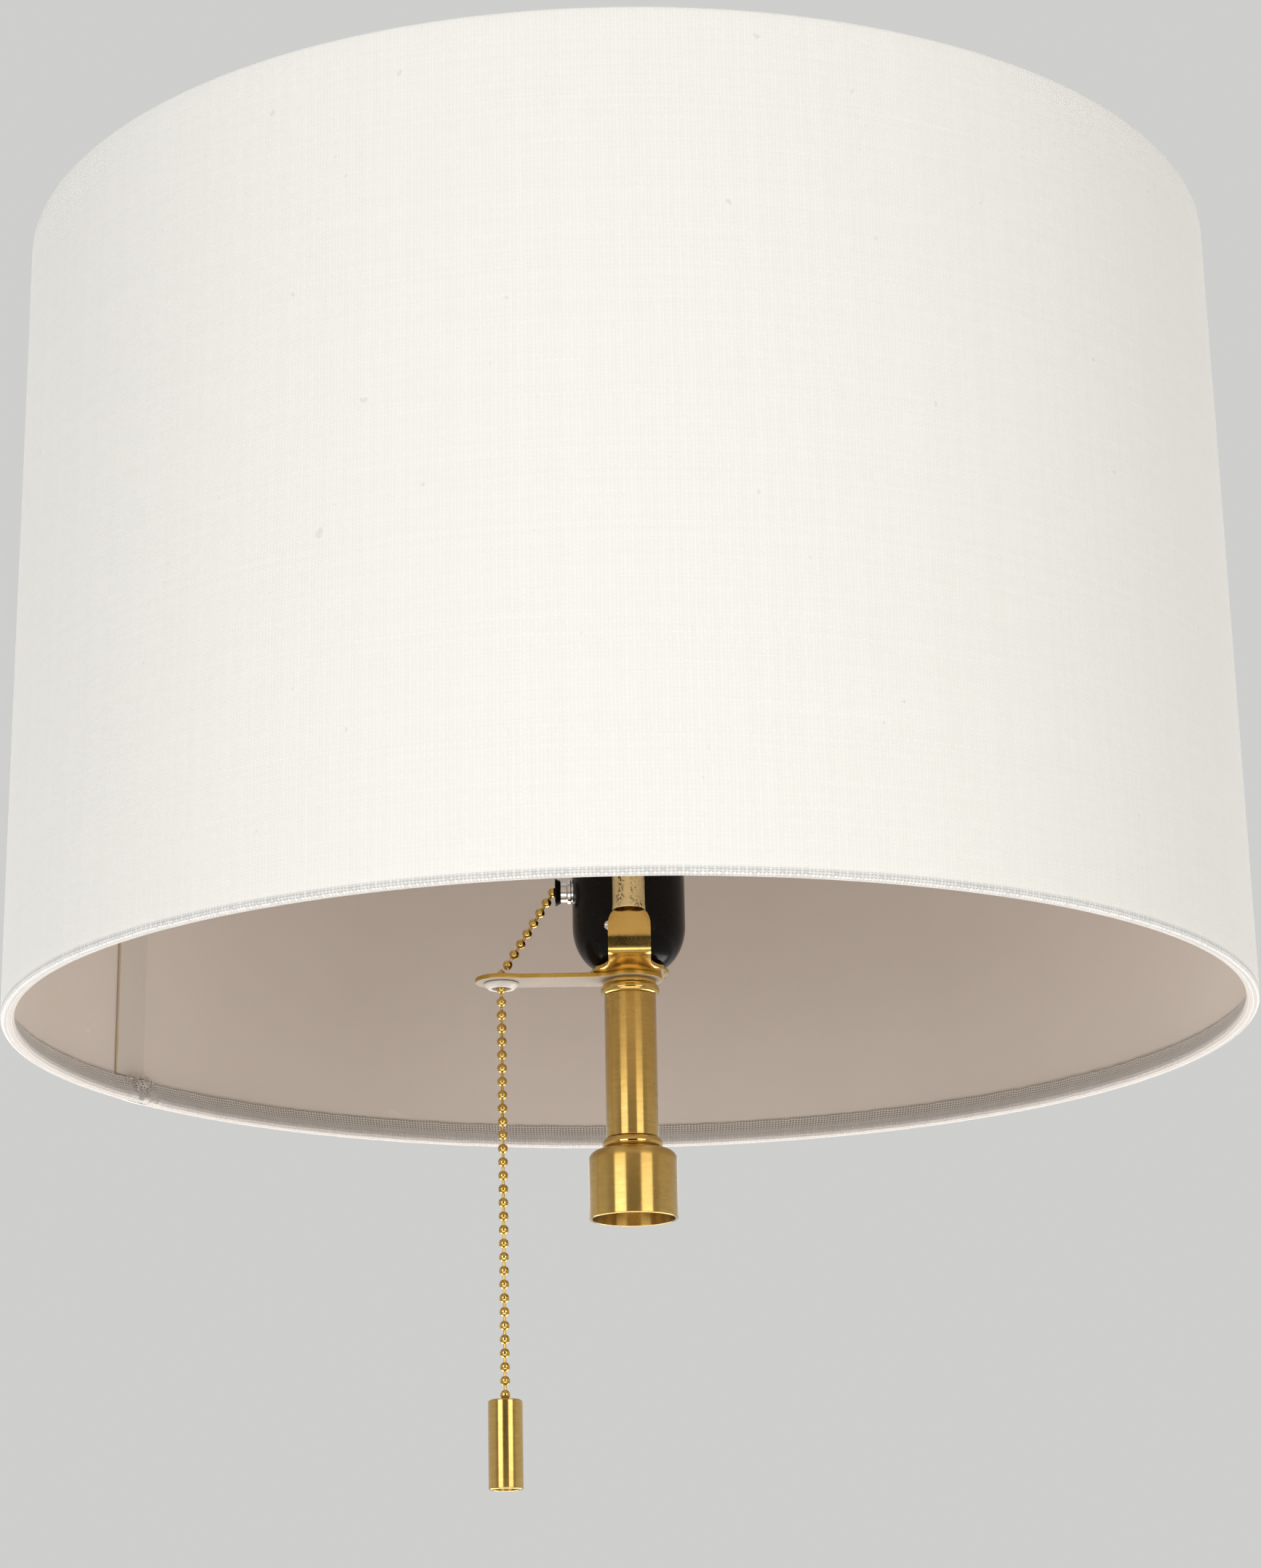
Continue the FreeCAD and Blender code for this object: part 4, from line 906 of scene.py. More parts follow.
def make_spider():
    """Hub and three arms, each bent to meet the top ring."""
    hub = Place("spider_hub")
    outer = hub.radius
    bore = 3.275 * MM
    low = hub.low.z
    high = hub.high.z
    rise = high - low
    corners = [
        (bore, low, 0.3 * MM),
        (outer, low, 0.6 * MM),
        (outer, high, 0.6 * MM),
        (outer * 0.62, high, 0.8 * MM),
        (outer * 0.55, high - rise * 0.25, 0.5 * MM),
        (bore + 1.2 * MM, high - rise * 0.25, 0.4 * MM),
        (bore + 1.0 * MM, high, 0.3 * MM),
        (bore, high, 0.3 * MM),
    ]
    turned_part("spider_hub_disc", corners, spider_steel, "shade", "spider_steel",
                "spider_hub")
    wire = 1.5 * MM
    reach = (top_ring.high.x - top_ring.low.x) / 2 - RING_WIRE
    ring_z = (top_ring.low.z + top_ring.high.z) / 2
    middle = (low + high) / 2
    for number, degrees in enumerate(SPIDER_TURNS, start=1):
        turn = Matrix.Rotation(math.radians(degrees), 3, "Z")
        route = [(outer - 1.5 * MM, middle), (reach - 16 * MM, middle),
                 (reach - 0.6 * MM, ring_z - 0.7 * MM)]
        points = [turn @ Vector((u, 0, v)) for u, v in route]
        arm = tube_along(f"spider_wire_{number}", bend_line(points, [10 * MM]), wire)
        worn(arm, spider_steel, "shade", f"spider_arm_{number}")


# ---------------------------------------------------------------- harp and finial

def make_harp():
    """Bent wire from one foot over the top to the other."""
    bow = Place("harp_bow")
    wire = 1.6 * MM
    foot = bow.low.z
    top = Place("harp_stud").low.z + 2.8 * MM
    ferrule = Place("ferrule_front")
    straight = ferrule.high.z + 31.95 * MM
    leg = abs(ferrule.middle.y) - 0.15 * MM - wire
    wide = bow.radius - wire
    belly_low = straight + 0.24 * (top - straight)
    belly_high = straight + 0.66 * (top - straight)
    half = [(leg, foot), (leg, straight), (wide, belly_low), (wide, belly_high),
            (31 * MM, top)]
    other = [(-y, z) for y, z in reversed(half)]
    points = [Vector((0, y, z)) for y, z in half + other]
    bends = [bend * MM for bend in (30, 60, 55, 18, 18, 55, 60, 30)]
    harp = tube_along("harp_wire", bend_line(points, bends, 14), wire, 24)
    worn(harp, harp_plating, "harp", "harp_bow")


def make_stud_and_finial():
    """Threaded stud in the harp's top and the knob screwed on it."""
    stud = Place("harp_stud")
    finial = Place("finial")
    hub = Place("spider_hub")
    flange = stud.radius
    thread = 3.175 * MM
    shelf = hub.low.z
    corners = [
        (0, stud.low.z, 0),
        (flange * 0.8, stud.low.z, 0.5 * MM),
        (flange, stud.low.z + 1.2 * MM, 0.6 * MM),
        (flange, shelf, 0.4 * MM),
        (thread, shelf, 0.1 * MM),
    ]
    pitch = 0.47 * MM
    turns = int((stud.high.z - shelf - 1 * MM) / pitch)
    for index in range(turns):
        base = shelf + 0.5 * MM + index * pitch
        corners.append((thread, base, 0))
        corners.append((thread - 0.28 * MM, base + pitch / 2, 0))
    corners += [(thread - 0.4 * MM, stud.high.z, 0), (0, stud.high.z, 0)]
    turned_part("harp_stud_screw", corners, harp_plating, "harp", "harp_plating", "harp_stud",
                sides=48)
    base = finial.low.z
    knob = finial.radius
    foot = 7 * MM
    waist = 4.3 * MM
    outline = [
        (thread + 0.05 * MM, base, 0.2 * MM),
        (foot, base, 0.5 * MM),
        (foot, base + 2.2 * MM, 0.5 * MM),
        (waist, base + 3.4 * MM, 0.8 * MM),
        (waist, base + 7.6 * MM, 0.6 * MM),
    ]
    centre = finial.high.z - knob
    for degrees in range(-60, 91, 10):
        turn = math.radians(degrees)
        reach = knob * math.cos(turn)
        outline.append((0 if degrees == 90 else reach, centre + knob * math.sin(turn), 0))
    outline += [(0, base + 14 * MM, 0), (thread + 0.05 * MM, base + 13.4 * MM, 0)]
    turned_part("finial_knob", outline, satin_brass, "finial", "satin_brass", "finial",
                sides=72, crease=50)


def make_ferrules():
    """Thin tubes with rolled ends that lock the harp's feet."""
    for side in ("front", "back"):
        place = Place(f"ferrule_{side}")
        outer = place.radius
        wall = 0.4 * MM
        low = place.low.z
        high = place.high.z
        corners = [
            (outer - wall, low, 0.1 * MM),
            (outer, low, 0.18 * MM),
            (outer, low + 1.1 * MM, 0.1 * MM),
            (outer - 0.12 * MM, low + 1.35 * MM, 0.1 * MM),
            (outer - 0.12 * MM, high - 1.2 * MM, 0.3 * MM),
            (outer, high - 0.7 * MM, 0.2 * MM),
            (outer, high, 0.18 * MM),
            (outer - wall, high, 0.1 * MM),
        ]
        middle = (place.middle.x, place.middle.y, 0)
        turned_part(f"ferrule_{side}_tube", corners, aged_brass, f"ferrule_{side}",
                    "aged_brass", f"ferrule_{side}", middle=middle, sides=72)


def make_saddle():
    """Base disc and its strap, bent up on both sides into two rounded tabs."""
    place = Place("harp_saddle")
    thick = 1.5 * MM
    base = place.low.z
    top = place.high.z
    reach = place.radius - thick / 2
    post = Place("ferrule_front").low.z
    disc_radius = 12.8 * MM
    mid = base + thick / 2
    lift = 1.8 * MM
    side = [
        (0, mid, 0),
        (disc_radius - 2.2 * MM, mid, 5 * MM),
        (reach - 1.5 * MM, mid + lift, 1.9 * MM),
        (reach, mid + lift + 5.6 * MM, 16 * MM),
        (reach, top, 0),
    ]
    arc = rounded(side, 8, closed=False)
    fine = []
    for before, after in zip(arc, arc[1:]):
        pieces = max(1, int((after - before).length / (0.6 * MM)))
        fine += [before.lerp(after, step / pieces) for step in range(pieces)]
    fine.append(arc[-1])
    path = [Vector((-point.x, point.y)) for point in reversed(fine[1:])] + fine
    tongue = 4.1 * MM
    tab = 6.75 * MM
    flare_start = 9.6 * MM
    flare_length = 9 * MM
    flare_width = 4.2 * MM
    shoulder_height = 5.2 * MM
    crown_height = 0.9 * MM

    def half_width(point):
        """Half the strap's width: flared at the disc, narrowed at the tongue's shoulders."""
        from_disc = abs(point.x) - flare_start
        if point.y < mid + lift + 1.5 * MM and abs(point.x) < reach - 1.5 * MM:
            flare = max(0.0, 1 - from_disc / flare_length)
            return tab + flare_width * min(1.0, flare) ** 3
        shoulder = (post - point.y) / shoulder_height
        if shoulder <= 0:
            return tongue
        if shoulder < 1:
            return tongue + (tab - tongue) * math.sqrt(1 - (1 - shoulder) ** 2)
        return tab

    shape = bmesh.new()
    rings = []
    columns = 12
    for index, point in enumerate(path):
        ahead = path[min(index + 1, len(path) - 1)] - path[max(index - 1, 0)]
        ahead.normalize()
        normal = Vector((-ahead.y, ahead.x))
        half = half_width(point)
        crown = max(0.0, min(1.0, (point.y - (post - 7 * MM)) / (5 * MM)))
        ring = []
        for face in (1, -1):
            shares = range(columns + 1)
            for column in shares if face == 1 else reversed(shares):
                across = column / columns * 2 - 1
                bow = -crown * crown_height * across * across
                outward = -1 if point.x < 0 else 1
                soft = 0.15 * MM * max(0.0, abs(across) - 0.9) * 10
                push = normal * (thick / 2 - soft) * face
                spot = point + push + Vector((bow * outward, 0))
                ring.append(shape.verts.new((across * half, spot.x, spot.y)))
        rings.append(ring)
    skin(shape, rings, capped=True)
    strap = finish_mesh("harp_saddle_strap", shape)
    corners = [
        (0, base, 0),
        (disc_radius - 2.4 * MM, base, 2 * MM),
        (disc_radius, base + 0.5 * MM, 0.3 * MM),
        (disc_radius, base + thick + 0.35 * MM, 0.5 * MM),
        (disc_radius - 2.4 * MM, base + thick, 2 * MM),
        (0, base + thick, 0),
    ]
    disc = turned("saddle_disc", corners, sides=96)
    saddle = boolean(strap, disc, "UNION")
    under = base - 1 * MM
    over = base + 3 * MM
    drill = turned("saddle_drill", [(0, under, 0), (PIPE_HOLE, under, 0), (PIPE_HOLE, over, 0),
                                    (0, over, 0)], sides=64)
    saddle = boolean(saddle, drill, "DIFFERENCE")
    worn(saddle, polished_brass, "lamp_head", "harp_saddle")


# ---------------------------------------------------------------- neck

def swelling(radius, bulge, middle, half_height):
    """Half-round outside of a ring, from its lower edge to its upper one."""
    arc = []
    for degrees in range(-78, 79, 12):
        turn = math.radians(degrees)
        arc.append((radius - bulge + bulge * math.cos(turn),
                    middle + half_height * math.sin(turn), 0))
    return arc


def make_neck():
    """Collar, lower ring, tube and upper ring, stacked on the lamp pipe."""
    collar = Place("stand_collar")
    bore = 13.2 * MM
    top = collar.high.z
    inside = top - 1.6 * MM
    corners = [
        (bore, collar.low.z, 0.2 * MM),
        (collar.radius, collar.low.z, 0.35 * MM),
        (collar.radius, top, 3.6 * MM),
        (PIPE_HOLE, top, 0.2 * MM),
        (PIPE_HOLE, inside, 0.2 * MM),
        (bore, inside, 2.5 * MM),
    ]
    turned_part("stand_collar_cup", corners, satin_brass, "lamp_head", "satin_brass",
                "stand_collar", sides=128, steps=10)

    ring = Place("lower_ring")
    spigot = 7.3 * MM
    face = top + 4 * MM
    corners = [(PIPE_HOLE, top, 0.1 * MM)]
    corners += swelling(ring.radius, 1.95 * MM, (top + face) / 2, 2.0 * MM)
    corners += [(spigot, face, 0.1 * MM), (spigot, ring.high.z, 0.2 * MM),
                (PIPE_HOLE, ring.high.z, 0.1 * MM)]
    turned_part("lower_ring_band", corners, polished_brass, "lamp_head", "polished_brass",
                "lower_ring", crease=50)

    tube = Place("neck_tube")
    wall = 0.9 * MM
    corners = [
        (tube.radius - wall, tube.low.z, 0.15 * MM),
        (tube.radius, tube.low.z, 0.3 * MM),
        (tube.radius, tube.high.z, 0.3 * MM),
        (tube.radius - wall, tube.high.z, 0.15 * MM),
    ]
    turned_part("neck_tube_sleeve", corners, satin_brass, "lamp_head", "satin_brass",
                "neck_tube", sides=128)

    upper = Place("upper_ring")
    low = tube.high.z
    bead = 3.4 * MM
    groove = 8.5 * MM
    corners = [(PIPE_HOLE, upper.low.z, 0.1 * MM), (spigot, upper.low.z, 0.2 * MM),
               (spigot, low, 0.1 * MM)]
    corners += swelling(upper.radius, 1.3 * MM, low + bead / 2, bead / 2)
    corners += [(groove, low + bead, 0.2 * MM), (groove, upper.high.z, 0.15 * MM),
                (PIPE_HOLE, upper.high.z, 0.1 * MM)]
    turned_part("upper_ring_band", corners, polished_brass, "lamp_head", "polished_brass",
                "upper_ring", crease=50)


def make_lamp_pipe():
    """Threaded pipe; its thread shows inside the collar and inside the lampholder."""
    pipe = Place("lamp_pipe")
    bore = 3.7 * MM
    crest = pipe.radius
    root = crest - 0.5 * MM
    shape = bmesh.new()
    sides = 48
    pitch = 1.0 * MM
    steps_per_turn = 4
    rows = int(pipe.height / pitch * steps_per_turn)
    grid = []
    for row in range(rows + 1):
        height = pipe.low.z + pipe.height * row / rows
        depth = crest - root if 2 <= row <= rows - 2 else 0

        def thread_at(share, height=height, depth=depth):
            phase = (height / pitch - share) % 1
            return root + depth * abs(phase * 2 - 1)

        grid.append(ring_of(shape, sides, height, thread_at))
    for end in (pipe.high.z, pipe.low.z):
        grid.append(ring_of(shape, sides, end, lambda share: bore))
    skin(shape, grid + grid[:1])
    piece = finish_mesh("lamp_pipe_thread", shape, 60)
    worn(piece, zinc_steel, "lamp_head", "lamp_pipe")


def keyhole_outline(big, small, apart, half, fillet):
    """Two discs joined by a strip, with rounded inner corners, as a closed outline."""
    upper = []
    lift = half + fillet
    far_big = math.sqrt((big + fillet) ** 2 - lift ** 2)
    far_small = math.sqrt((small + fillet) ** 2 - lift ** 2)
    start = math.atan2(lift, -far_big)
    for step in range(25):
        turn = start * step / 24
        upper.append((big * math.cos(turn), big * math.sin(turn)))
    for step in range(1, 9):
        turn = (start - math.pi) + (-math.pi / 2 - (start - math.pi)) * step / 8
        upper.append((-far_big + fillet * math.cos(turn), lift + fillet * math.sin(turn)))
    end = math.atan2(lift, far_small)
    for step in range(9):
        turn = -math.pi / 2 - (math.pi / 2 - end) * step / 8
        upper.append((-apart + far_small + fillet * math.cos(turn),
                      lift + fillet * math.sin(turn)))
    for step in range(1, 25):
        turn = end + (math.pi - end) * step / 24
        upper.append((-apart + small * math.cos(turn), small * math.sin(turn)))
    lower = [(u, -v) for u, v in reversed(upper[1:-1])]
    return upper + lower


def make_arm():
    """Flat chain arm with broken edges, cut for the pipe and the eyelet."""
    place = Place("chain_arm")
    eyelet = Place("arm_eyelet")
    small = 8.4 * MM
    big = place.high.x
    apart = -eyelet.middle.x
    bevel = 0.18 * MM
    curve = bpy.data.curves.new("chain_arm_plate", "CURVE")
    curve.dimensions = "2D"
    curve.fill_mode = "BOTH"
    curve.extrude = place.height / 2 - bevel
    curve.bevel_depth = bevel
    curve.bevel_resolution = 2
    curve.offset = -bevel
    outlines = [keyhole_outline(big, small, apart, 7 * MM, 8 * MM)]
    for middle, radius in ((0, PIPE_HOLE), (-apart, 4.1 * MM)):
        outlines.append([(middle + radius * math.cos(2 * math.pi * side / 48),
                          radius * math.sin(2 * math.pi * side / 48)) for side in range(48)])
    for outline in outlines:
        spline = curve.splines.new("POLY")
        spline.points.add(len(outline) - 1)
        for point, (u, v) in zip(spline.points, outline):
            point.co = (u, v, 0, 1)
        spline.use_cyclic_u = True
    flat = placed("chain_arm_flat", curve)
    graph = bpy.context.evaluated_depsgraph_get()
    mesh = bpy.data.meshes.new_from_object(flat.evaluated_get(graph))
    bpy.data.objects.remove(flat)
    shape = bmesh.new()
    shape.from_mesh(mesh)
    bmesh.ops.translate(shape, verts=shape.verts, vec=(0, 0, place.middle.z))
    arm = finish_mesh("chain_arm_plate", shape)
    worn(arm, arm_brass, "lamp_head", "chain_arm")


def make_eyelet():
    """Bush with a rim on each side of the arm."""
    place = Place("arm_eyelet")
    arm = Place("chain_arm")
    hole = 3.1 * MM
    neck = 4.0 * MM
    rim = place.radius
    under = arm.low.z - 0.1 * MM
    over = arm.high.z + 0.1 * MM
    corners = [
        (hole, place.low.z, 0.3 * MM),
        (hole + 1.1 * MM, place.low.z, 0.5 * MM),
        (rim - 0.6 * MM, under - 0.9 * MM, 0.9 * MM),
        (rim, under, 0.25 * MM),
        (neck, under, 0.1 * MM),
        (neck, over, 0.1 * MM),
        (rim - 1.0 * MM, over, 0.15 * MM),
        (rim - 1.2 * MM, place.high.z - 0.2 * MM, 0.4 * MM),
        (hole + 0.6 * MM, place.high.z, 0.4 * MM),
        (hole, place.high.z, 0.3 * MM),
    ]
    turned_part("arm_eyelet_bush", corners, nylon, "lamp_head", "eyelet_nylon", "arm_eyelet",
                middle=(place.middle.x, place.middle.y, 0), sides=72)


# ---------------------------------------------------------------- lampholder

def make_lampholder():
    """Domed cap and the shell that plugs into it."""
    cap = Place("socket_cap")
    outer = cap.radius
    wall = 2 * MM
    low = cap.low.z
    foot = 6.5 * MM
    dome = 15 * MM
    overlap = 4 * MM
    corners = [(PIPE_HOLE, low, 0.3 * MM)]
    for step in range(25):
        turn = math.pi / 2 * step / 24
        corners.append((foot + (outer - foot) * math.sin(turn),
                        low + dome * (1 - math.cos(turn)), 0))
    corners += [
        (outer, cap.high.z - overlap, 0.25 * MM),
        (outer - wall / 2, cap.high.z - overlap, 0.1 * MM),
        (outer - wall / 2, cap.high.z, 0.2 * MM),
        (outer - wall, cap.high.z, 0.2 * MM),
        (outer - wall, low + dome, 4 * MM),
        (outer - wall - 4 * MM, low + 8 * MM, 1 * MM),
        (PIPE_HOLE, low + 8 * MM, 0.3 * MM),
    ]
    turned_part("socket_cap_dome", corners, black_plastic, "lamp_head", "black_plastic",
                "socket_cap", sides=128, crease=50)

    shell = Place("socket_shell")
    fit = outer - wall / 2 + 0.15 * MM
    ledge = shell.low.z + overlap + 2.15 * MM
    corners = [
        (fit, shell.low.z, 0.1 * MM),
        (outer, shell.low.z, 0.25 * MM),
        (outer, shell.high.z - 3.2 * MM, 0.3 * MM),
        (outer - 0.35 * MM, shell.high.z - 2.8 * MM, 0.2 * MM),
        (outer - 0.35 * MM, shell.high.z, 1.2 * MM),
        (outer - wall, shell.high.z, 0.4 * MM),
        (outer - wall, ledge, 0.2 * MM),
        (fit, ledge, 0.1 * MM),
    ]
    turned_part("socket_shell_sleeve", corners, black_plastic, "lamp_head", "black_plastic",
                "socket_shell", sides=128)


def make_screw_shell():
    """Rolled thread of the lampholder, 7 turns to 25.4 mm."""
    place = Place("screw_shell")
    radius = place.radius - 0.2 * MM
    pitch = 25.4 * MM / 7
    depth = 0.55 * MM
    sides = 72
    rows = 80
    floor = place.low.z + 0.4 * MM
    shape = bmesh.new()
    grid = []
    for row in range(rows + 1):
        share = row / rows
        height = floor + (place.high.z - floor) * share
        groove = depth * min(1, share * 8, (1 - share) * 8)

        def thread_at(share, height=height, groove=groove):
            phase = 2 * math.pi * (height / pitch - share)
            return radius - groove * (0.5 - 0.5 * math.cos(phase))

        grid.append(ring_of(shape, sides, height, thread_at))
    for reach in (radius - 1 * MM, 6.2 * MM):
        grid.insert(0, ring_of(shape, sides, place.low.z + 0.1 * MM,
                               lambda share, reach=reach: reach))
    skin(shape, grid)
    piece = finish_mesh("screw_shell_thread", shape, 60)
    wall = piece.modifiers.new("wall", "SOLIDIFY")
    wall.thickness = 0.3 * MM
    wall.offset = 0
    applied(piece)
    worn(piece, nickel, "lamp_head", "screw_shell")


def make_spout():
    """Nickel chain outlet through the cap's wall, with its black flared mouth."""
    spout = Place("switch_spout")
    mouth = Place("spout_mouth")
    height = mouth.middle.z
    face = Place("socket_cap").radius
    outer = 3.5 * MM
    wall = 0.6 * MM
    start = mouth.high.x
    back = -(face - 2.8 * MM)
    length = back - start
    flange = spout.radius
    corners = [
        (outer - wall, -0.2 * MM, 0.1 * MM),
        (flange, -0.2 * MM, 0.2 * MM),
        (flange, 0.6 * MM, 0.2 * MM),
        (outer, 0.6 * MM, 0.1 * MM),
        (outer, length - 3.4 * MM, 0.1 * MM),
        (outer + 0.55 * MM, length - 3.3 * MM, 0.15 * MM),
        (outer + 0.55 * MM, length - 2.2 * MM, 0.2 * MM),
        (outer - 0.1 * MM, length - 2.0 * MM, 0.2 * MM),
        (outer - 0.1 * MM, length, 0.1 * MM),
        (outer - wall, length, 0.1 * MM),
    ]
    turned_part("switch_spout_tube", corners, nickel, "lamp_head", "nickel", "switch_spout",
                middle=(back, 0, height), axis=(-1, 0, 0), sides=72)
    lip = mouth.radius
    depth = mouth.high.x - mouth.low.x
    corners = [
        (outer - wall, 0, 0.1 * MM),
        (outer + 0.2 * MM, 0, 0.2 * MM),
        (outer + 0.6 * MM, depth * 0.45, 0.6 * MM),
        (lip, depth - 0.35 * MM, 0.15 * MM),
        (lip, depth, 0.18 * MM),
        (lip - 0.5 * MM, depth, 0.15 * MM),
        (outer - 0.1 * MM, depth * 0.5, 0.5 * MM),
    ]
    turned_part("spout_mouth_flare", corners, black_plastic, "lamp_head", "black_plastic",
                "spout_mouth", middle=(start, 0, height), axis=(-1, 0, 0), sides=72)


def make_set_screw():
    """Slotted screw through the cap's side."""
    place = Place("cap_set_screw")
    turn = math.radians(21)
    out = Vector((-math.sin(turn), -math.cos(turn), 0))
    radius = 1.5 * MM
    height = place.middle.z
    end = Place("socket_cap").radius + 0.35 * MM
    start = 5.2 * MM
    corners = [
        (0, start, 0),
        (radius * 0.7, start, 0.1 * MM),
        (radius, start + 0.6 * MM, 0.1 * MM),
        (radius, end, 0.25 * MM),
        (0, end, 0),
    ]
    screw = turned("cap_set_screw_pin", corners, (0, 0, height), out, sides=32)
    slot = bmesh.new()
    bmesh.ops.create_cube(slot, size=1)
    across = Matrix.Rotation(-turn, 4, "Z") @ Matrix.Diagonal((4 * MM, 1.2 * MM, 0.5 * MM, 1))
    bmesh.ops.transform(slot, matrix=Matrix.Translation(out * end + Vector((0, 0, height)))
                        @ across, verts=slot.verts)
    screw = boolean(screw, finish_mesh("screw_slot", slot), "DIFFERENCE")
    worn(screw, nickel, "lamp_head", "cap_set_screw")


def finish_frame_parts():
    """Parts that keep the frame's own shapes get their finishes."""
    for finish, *names in (
        (zinc_steel, "collar_nut", "terminal_screws", "switch_yoke", "lever_pin",
         "lever_spring", "switch_lever"),
        (black_plastic, "socket_core"),
        (nickel, "centre_contact"),
        (painted_wire, "bottom_ring", "top_ring"),
    ):
        for name in names:
            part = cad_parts[name]
            part.data.materials.clear()
            part.data.materials.append(finish)


# ---------------------------------------------------------------- bead chain

def make_chain_tree():
    """Beads along a straight run, their links, and a link stub at each end."""
    tree = bpy.data.node_groups.new("Bead chain", "GeometryNodeTree")
    face = tree.interface
    face.new_socket("Geometry", in_out="INPUT", socket_type="NodeSocketGeometry")
    for label, kind in (
        ("First bead", "NodeSocketVector"),
        ("Step", "NodeSocketVector"),
        ("Beads", "NodeSocketInt"),
        ("Bead width", "NodeSocketFloat"),
        ("Link width", "NodeSocketFloat"),
        ("Stub before", "NodeSocketFloat"),
        ("Stub after", "NodeSocketFloat"),
        ("Seed", "NodeSocketInt"),
        ("Finish", "NodeSocketMaterial"),
    ):
        face.new_socket(label, in_out="INPUT", socket_type=kind)
    face.new_socket("Geometry", in_out="OUTPUT", socket_type="NodeSocketGeometry")
    given = tree.nodes.new("NodeGroupInput").outputs
    result = tree.nodes.new("NodeGroupOutput")

    def vector_maths(operation, first, second):
        key = 3 if operation == "SCALE" else 1
        return node(tree, "ShaderNodeVectorMath", {0: first, key: second}, operation=operation)

    radius = maths(tree, "MULTIPLY", given["Bead width"], 0.5)
    ball = node(tree, "GeometryNodeMeshUVSphere",
                {"Segments": 28, "Rings": 18, "Radius": radius})
    spot = tree.nodes.new("GeometryNodeInputPosition").outputs[0]
    split = node(tree, "ShaderNodeSeparateXYZ", {0: spot})
    flat = maths(tree, "MULTIPLY", radius, 0.93)
    level = maths(tree, "MINIMUM", split.outputs["Z"], flat)
    level = maths(tree, "MAXIMUM", level, maths(tree, "MULTIPLY", flat, -1.0))
    place = node(tree, "ShaderNodeCombineXYZ",
                 {0: split.outputs["X"], 1: split.outputs["Y"], 2: level})
    bead = node(tree, "GeometryNodeSetPosition",
                {"Geometry": ball.outputs["Mesh"], "Position": place.outputs[0]})
    turn = node(tree, "FunctionNodeAlignRotationToVector", {"Vector": given["Step"]}, axis="Z")
    roll = node(tree, "FunctionNodeRandomValue", {"Seed": given["Seed"]}, data_type="FLOAT")
    roll_turn = maths(tree, "MULTIPLY", roll.outputs[1], 2 * math.pi)
    spin = node(tree, "FunctionNodeAxisAngleToRotation", {"Angle": roll_turn})
    spin.inputs["Axis"].default_value = (0, 0, 1)
    lie = node(tree, "FunctionNodeRotateRotation",
               {0: turn.outputs[0], 1: spin.outputs[0]}, rotation_space="LOCAL")
    line = node(tree, "GeometryNodeMeshLine",
                {"Count": given["Beads"], "Start Location": given["First bead"],
                 "Offset": given["Step"]})
    beads = node(tree, "GeometryNodeInstanceOnPoints",
                 {"Points": line.outputs[0], "Instance": bead.outputs[0],
                  "Rotation": lie.outputs[0]})
    reach = vector_maths("LENGTH", given["Step"], (0, 0, 0)).outputs["Value"]
    link_radius = maths(tree, "MULTIPLY", given["Link width"], 0.5)
    between = maths(tree, "SUBTRACT", reach, maths(tree, "MULTIPLY", given["Bead width"], 0.8))
    pin = node(tree, "GeometryNodeMeshCylinder",
               {"Vertices": 12, "Radius": link_radius, "Depth": between})
    half_step = vector_maths("SCALE", given["Step"], 0.5).outputs[0]
    first_gap = vector_maths("ADD", given["First bead"], half_step).outputs[0]
    fewer = maths(tree, "SUBTRACT", given["Beads"], 1.0)
    gaps = node(tree, "GeometryNodeMeshLine",
                {"Count": fewer, "Start Location": first_gap, "Offset": given["Step"]})
    links = node(tree, "GeometryNodeInstanceOnPoints",
                 {"Points": gaps.outputs[0], "Instance": pin.outputs["Mesh"],
                  "Rotation": turn.outputs[0]})
    way = vector_maths("NORMALIZE", given["Step"], (0, 0, 0)).outputs[0]
    reach_all = vector_maths("SCALE", given["Step"], fewer).outputs[0]
    last = vector_maths("ADD", given["First bead"], reach_all).outputs[0]
    stubs = []
    for label, bead_at, side in (("Stub before", given["First bead"], -0.5),
                                 ("Stub after", last, 0.5)):
        stub = node(tree, "GeometryNodeMeshCylinder",
                    {"Vertices": 12, "Radius": link_radius, "Depth": given[label]})
        shift = vector_maths("SCALE", way, maths(tree, "MULTIPLY", given[label], side))
        middle = vector_maths("ADD", bead_at, shift.outputs[0])
        moved = node(tree, "GeometryNodeTransform",
                     {"Geometry": stub.outputs["Mesh"], "Translation": middle.outputs[0],
                      "Rotation": turn.outputs[0]})
        stubs.append(moved.outputs[0])
    join = tree.nodes.new("GeometryNodeJoinGeometry")
    for part in (beads.outputs[0], links.outputs[0], *stubs):
        tree.links.new(part, join.inputs[0])
    real = node(tree, "GeometryNodeRealizeInstances", {0: join.outputs[0]})
    smooth = node(tree, "GeometryNodeSetShadeSmooth", {0: real.outputs[0]})
    coat = node(tree, "GeometryNodeSetMaterial",
                {0: smooth.outputs[0], "Material": given["Finish"]})
    tree.links.new(coat.outputs[0], result.inputs[0])
    return tree


